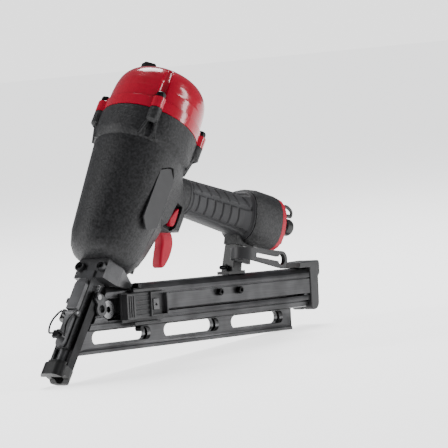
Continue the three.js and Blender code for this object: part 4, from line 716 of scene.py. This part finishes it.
lever = bowed((48, 205), *[tuple(by_pivot(c, q)) for c, q in [
    ((-5, -1), (-5, -4)), ((9, -8), (12.5, -18)), ((15.5, -29), (18, -35)), ((21.5, -41), (26, -34)),
    ((30, -20), (26, -9)), ((23, -2.5), (17, 0)), ((6, 4), (-1, 6)), ((-5, 6), (-5, 3)),
]])[:-1]
TRIGGER_HALF_WIDTH, TRIGGER_ROLL = 5.8, 2.4
SELECTOR_SIDES, SELECTOR_ROLL = (-19.8, -13.8), 1.4
MOULDED = math.radians(50)
lever_grid = drive.at(slab(lever, -TRIGGER_HALF_WIDTH, TRIGGER_HALF_WIDTH, TRIGGER_ROLL))
piece("trigger_moulding", skin("trigger_moulding", lever_grid, MOULDED), "trigger")
arc = np.radians(np.linspace(-189, 9, 24))
teardrop = np.concatenate([
    4.4 * np.stack([np.cos(arc), np.sin(arc)], -1),
    bowed((4.4, 0.7), ((4.6, 6), (3.4, 14.8)), ((2.6, 16.6), (1, 15.2)), ((-2.5, 9), (-4.4, 0.8)))[1:-1],
])
selector = slab(teardrop, *SELECTOR_SIDES, SELECTOR_ROLL) + [TRIGGER_PIVOT[0], 0, TRIGGER_PIVOT[1]]
piece("selector_lever", skin("selector_lever", drive.at(selector), MOULDED), "mode_selector")
pin_profile = [(0, 0), (2, 0), (2, 5.3), (0, 5.3)]
pin_place = (TRIGGER_PIVOT[0], -14.8, TRIGGER_PIVOT[1])
selector_pin = facing("y", pin_place, lathe(pin_profile, 32))
piece("selector_pin", skin("selector_pin", drive.at(selector_pin)), "mode_selector")
print("trigger", lever.shape)

# %% [markdown]
# **Springs and the wire bail.** A coil spring is a wire carried along a helix, (r cos a, r sin a, p a).
# The bail that holds the jam door shut is one bent wire.

# %% Wire pieces
COIL_STEPS = 28  # points in one turn


def coil(name, node, place, radius, wire, low, high, turns):
    """A spring on the drive, of a wire's radius between two heights: (r cos a, r sin a, p a)."""
    a = np.linspace(0, 2 * np.pi * turns, turns * COIL_STEPS)
    h = np.linspace(low + wire, high - wire, len(a))
    path = np.stack([(radius - wire) * np.cos(a), (radius - wire) * np.sin(a), h], -1)
    grid = tube(path, circle(wire, 8), (0, 0, 1)) + np.array(place, float)
    piece(name, skin(name, drive.at(grid), SOFT), node)


coil("valve_coil", "head_valve_spring", (0, 0, 0), 21.3, 1.0, 264.7, 316, 6)
coil("trigger_coil", "trigger_valve_spring", (66.5, 0, 0), 2.6, 0.4, 220.9, 231, 7)
coil("contact_coil", "work_contact_spring", (0.5, -9.85, 0), 2.2, 0.35, 92.3, 100.6, 5)
WIRE_FOOT = (-19.2, 39)
BAIL_RADIUS = 0.9


def bail_leg(side):
    """The bowed leg of the bail on one side, from the hinge's ear down to the lever."""
    u, w = WIRE_FOOT
    return [
        (-14, side, 65.5), (-16.5, side, 62.5), (u - 1.5, side, w + 14), (u - 2.5, side, w + 6),
        (u - 1, side, w + 1),
    ]


left, right_leg = bail_leg(-9.8), bail_leg(9.8)
corners = [(WIRE_FOOT[0], k, WIRE_FOOT[1]) for k in (-9.2, -7.8, 0, 7.8, 9.2)]
wire_path = through(left + corners + right_leg[::-1], 170)
wire_grid = tube(wire_path, circle(BAIL_RADIUS, 10), (0.2, 0.05, 0.98))
piece("bail_wire", skin("bail_wire", drive.at(wire_grid), SOFT), "latch_wire")
print("bail points", wire_grid.shape)

# %% [markdown]
# **Castings and mouldings.** The rest keep the model's own shapes. Big castings get a generous
# rolled edge, thin sheet and small steel pieces a slight one.

# %% Pieces that keep their shape
FAIR, FINE = 0.45, 0.2
edges = {
    "body_casting": FAIR, "cap_gasket": 0.1, "exhaust_deflector": 0.5, "handle_end_cap": 0.7,
    "badge_plate": 0.5, "driver_guide": FAIR, "nose_cover": 0.7, "jam_door": 0.6,
    "latch_lever": 0.5, "work_contact": FAIR, "depth_wheel": FINE, "contact_strap": 0.35,
    "strap_rivet": FINE, "no_mar_tip": 1.2, "magazine_rail": 0.3, "magazine_end_cap": 1.1,
    "pusher": 0.4, "pusher_knob": 0.5, "pusher_latch": 0.4, "strut_bracket": 0.7,
    "belt_hook": 0.8, "door_hinge_pin": FINE, "trigger_pin": FINE, "pusher_roller_1": FINE,
    "pusher_roller_2": FINE, "strut_screw": FINE,
}
for node, edge in edges.items():
    dressed(node, edge)
print("dressed", len(edges))

# %% [markdown]
# What is sealed inside, the cylinder, piston and valves, keeps the model's solids and takes its
# finish only: nobody sees it, but the exported model should not hold a bare grey piece.

# %% Inner pieces
for node, obj in nodes.items():
    obj.data.materials.clear()
    obj.data.materials.append(finishes[slot_of_node[node]])

# %% [markdown]
# **The studio.** A pale sweep that glows a little, as a lit backdrop does, tall soft boxes on both
# sides for bright edges on the dark castings, one broad light above, and little light from the front.

# %% Floor and light
REACH = 30.0  # metres from the tool to the sweep's edge
PAPER_GLOW = 1.7
ROOM_LIGHT, BACKDROP_LIGHT = 0.25, 2.6
floor_mesh = bpy.data.meshes.new("floor")
corners = [(-REACH, -REACH, 0), (REACH, -REACH, 0), (REACH, REACH, 0), (-REACH, REACH, 0)]
floor_mesh.from_pydata(corners, [], [(0, 1, 2, 3)])
floor = bpy.data.objects.new("floor", floor_mesh)
bpy.context.scene.collection.objects.link(floor)
paper = Recipe("paper")
paper.put("Base Color", (0.82, 0.82, 0.82, 1))
paper.put("Roughness", 0.9)
paper.put("Emission Color", (1, 1, 1, 1))
paper.put("Emission Strength", PAPER_GLOW)
floor_mesh.materials.append(paper.material)

world = bpy.data.worlds.new("room")
world.use_nodes = True
room = world.node_tree
room.nodes["Background"].inputs["Color"].default_value = (0.9, 0.93, 1, 1)
room.nodes["Background"].inputs["Strength"].default_value = ROOM_LIGHT
backdrop = room.nodes.new("ShaderNodeBackground")
backdrop.inputs["Strength"].default_value = BACKDROP_LIGHT
seen = room.nodes.new("ShaderNodeLightPath")
both = room.nodes.new("ShaderNodeMixShader")
room.links.new(seen.outputs["Is Camera Ray"], both.inputs[0])
room.links.new(room.nodes["Background"].outputs[0], both.inputs[1])
room.links.new(backdrop.outputs[0], both.inputs[2])
room.links.new(both.outputs[0], room.nodes["World Output"].inputs["Surface"])
bpy.context.scene.world = world


def lamp(name, place, aim, size, power):
    """An area light of a size and a power in watts, at a place in metres, facing another place."""
    data = bpy.data.lights.new(name, "AREA")
    data.shape, data.energy = "RECTANGLE", power
    data.size, data.size_y = size
    obj = bpy.data.objects.new(name, data)
    bpy.context.scene.collection.objects.link(obj)
    z = np.subtract(place, aim) / np.linalg.norm(np.subtract(place, aim))
    x = np.cross((0, 0, 1), z) / np.linalg.norm(np.cross((0, 0, 1), z))
    rows = np.stack([x, np.cross(z, x), z, place], 1).tolist()
    obj.matrix_world = Matrix(rows + [(0, 0, 0, 1)])


lamp("above", (0.8, 0.7, 2.0), (0, 0, 0.1), (1.0, 1.0), 60)
lamp("left", (-1.2, 1.1, 0.7), (0, 0, 0.14), (0.25, 1.2), 20)
lamp("right", (0.9, -1.4, 0.7), (0, 0, 0.14), (0.25, 1.2), 18)
lamp("front", (-1.2, -1.9, 1.9), (0, 0, 0.12), (0.35, 0.35), 6)
print("lights", sorted(bpy.data.lights.keys()))
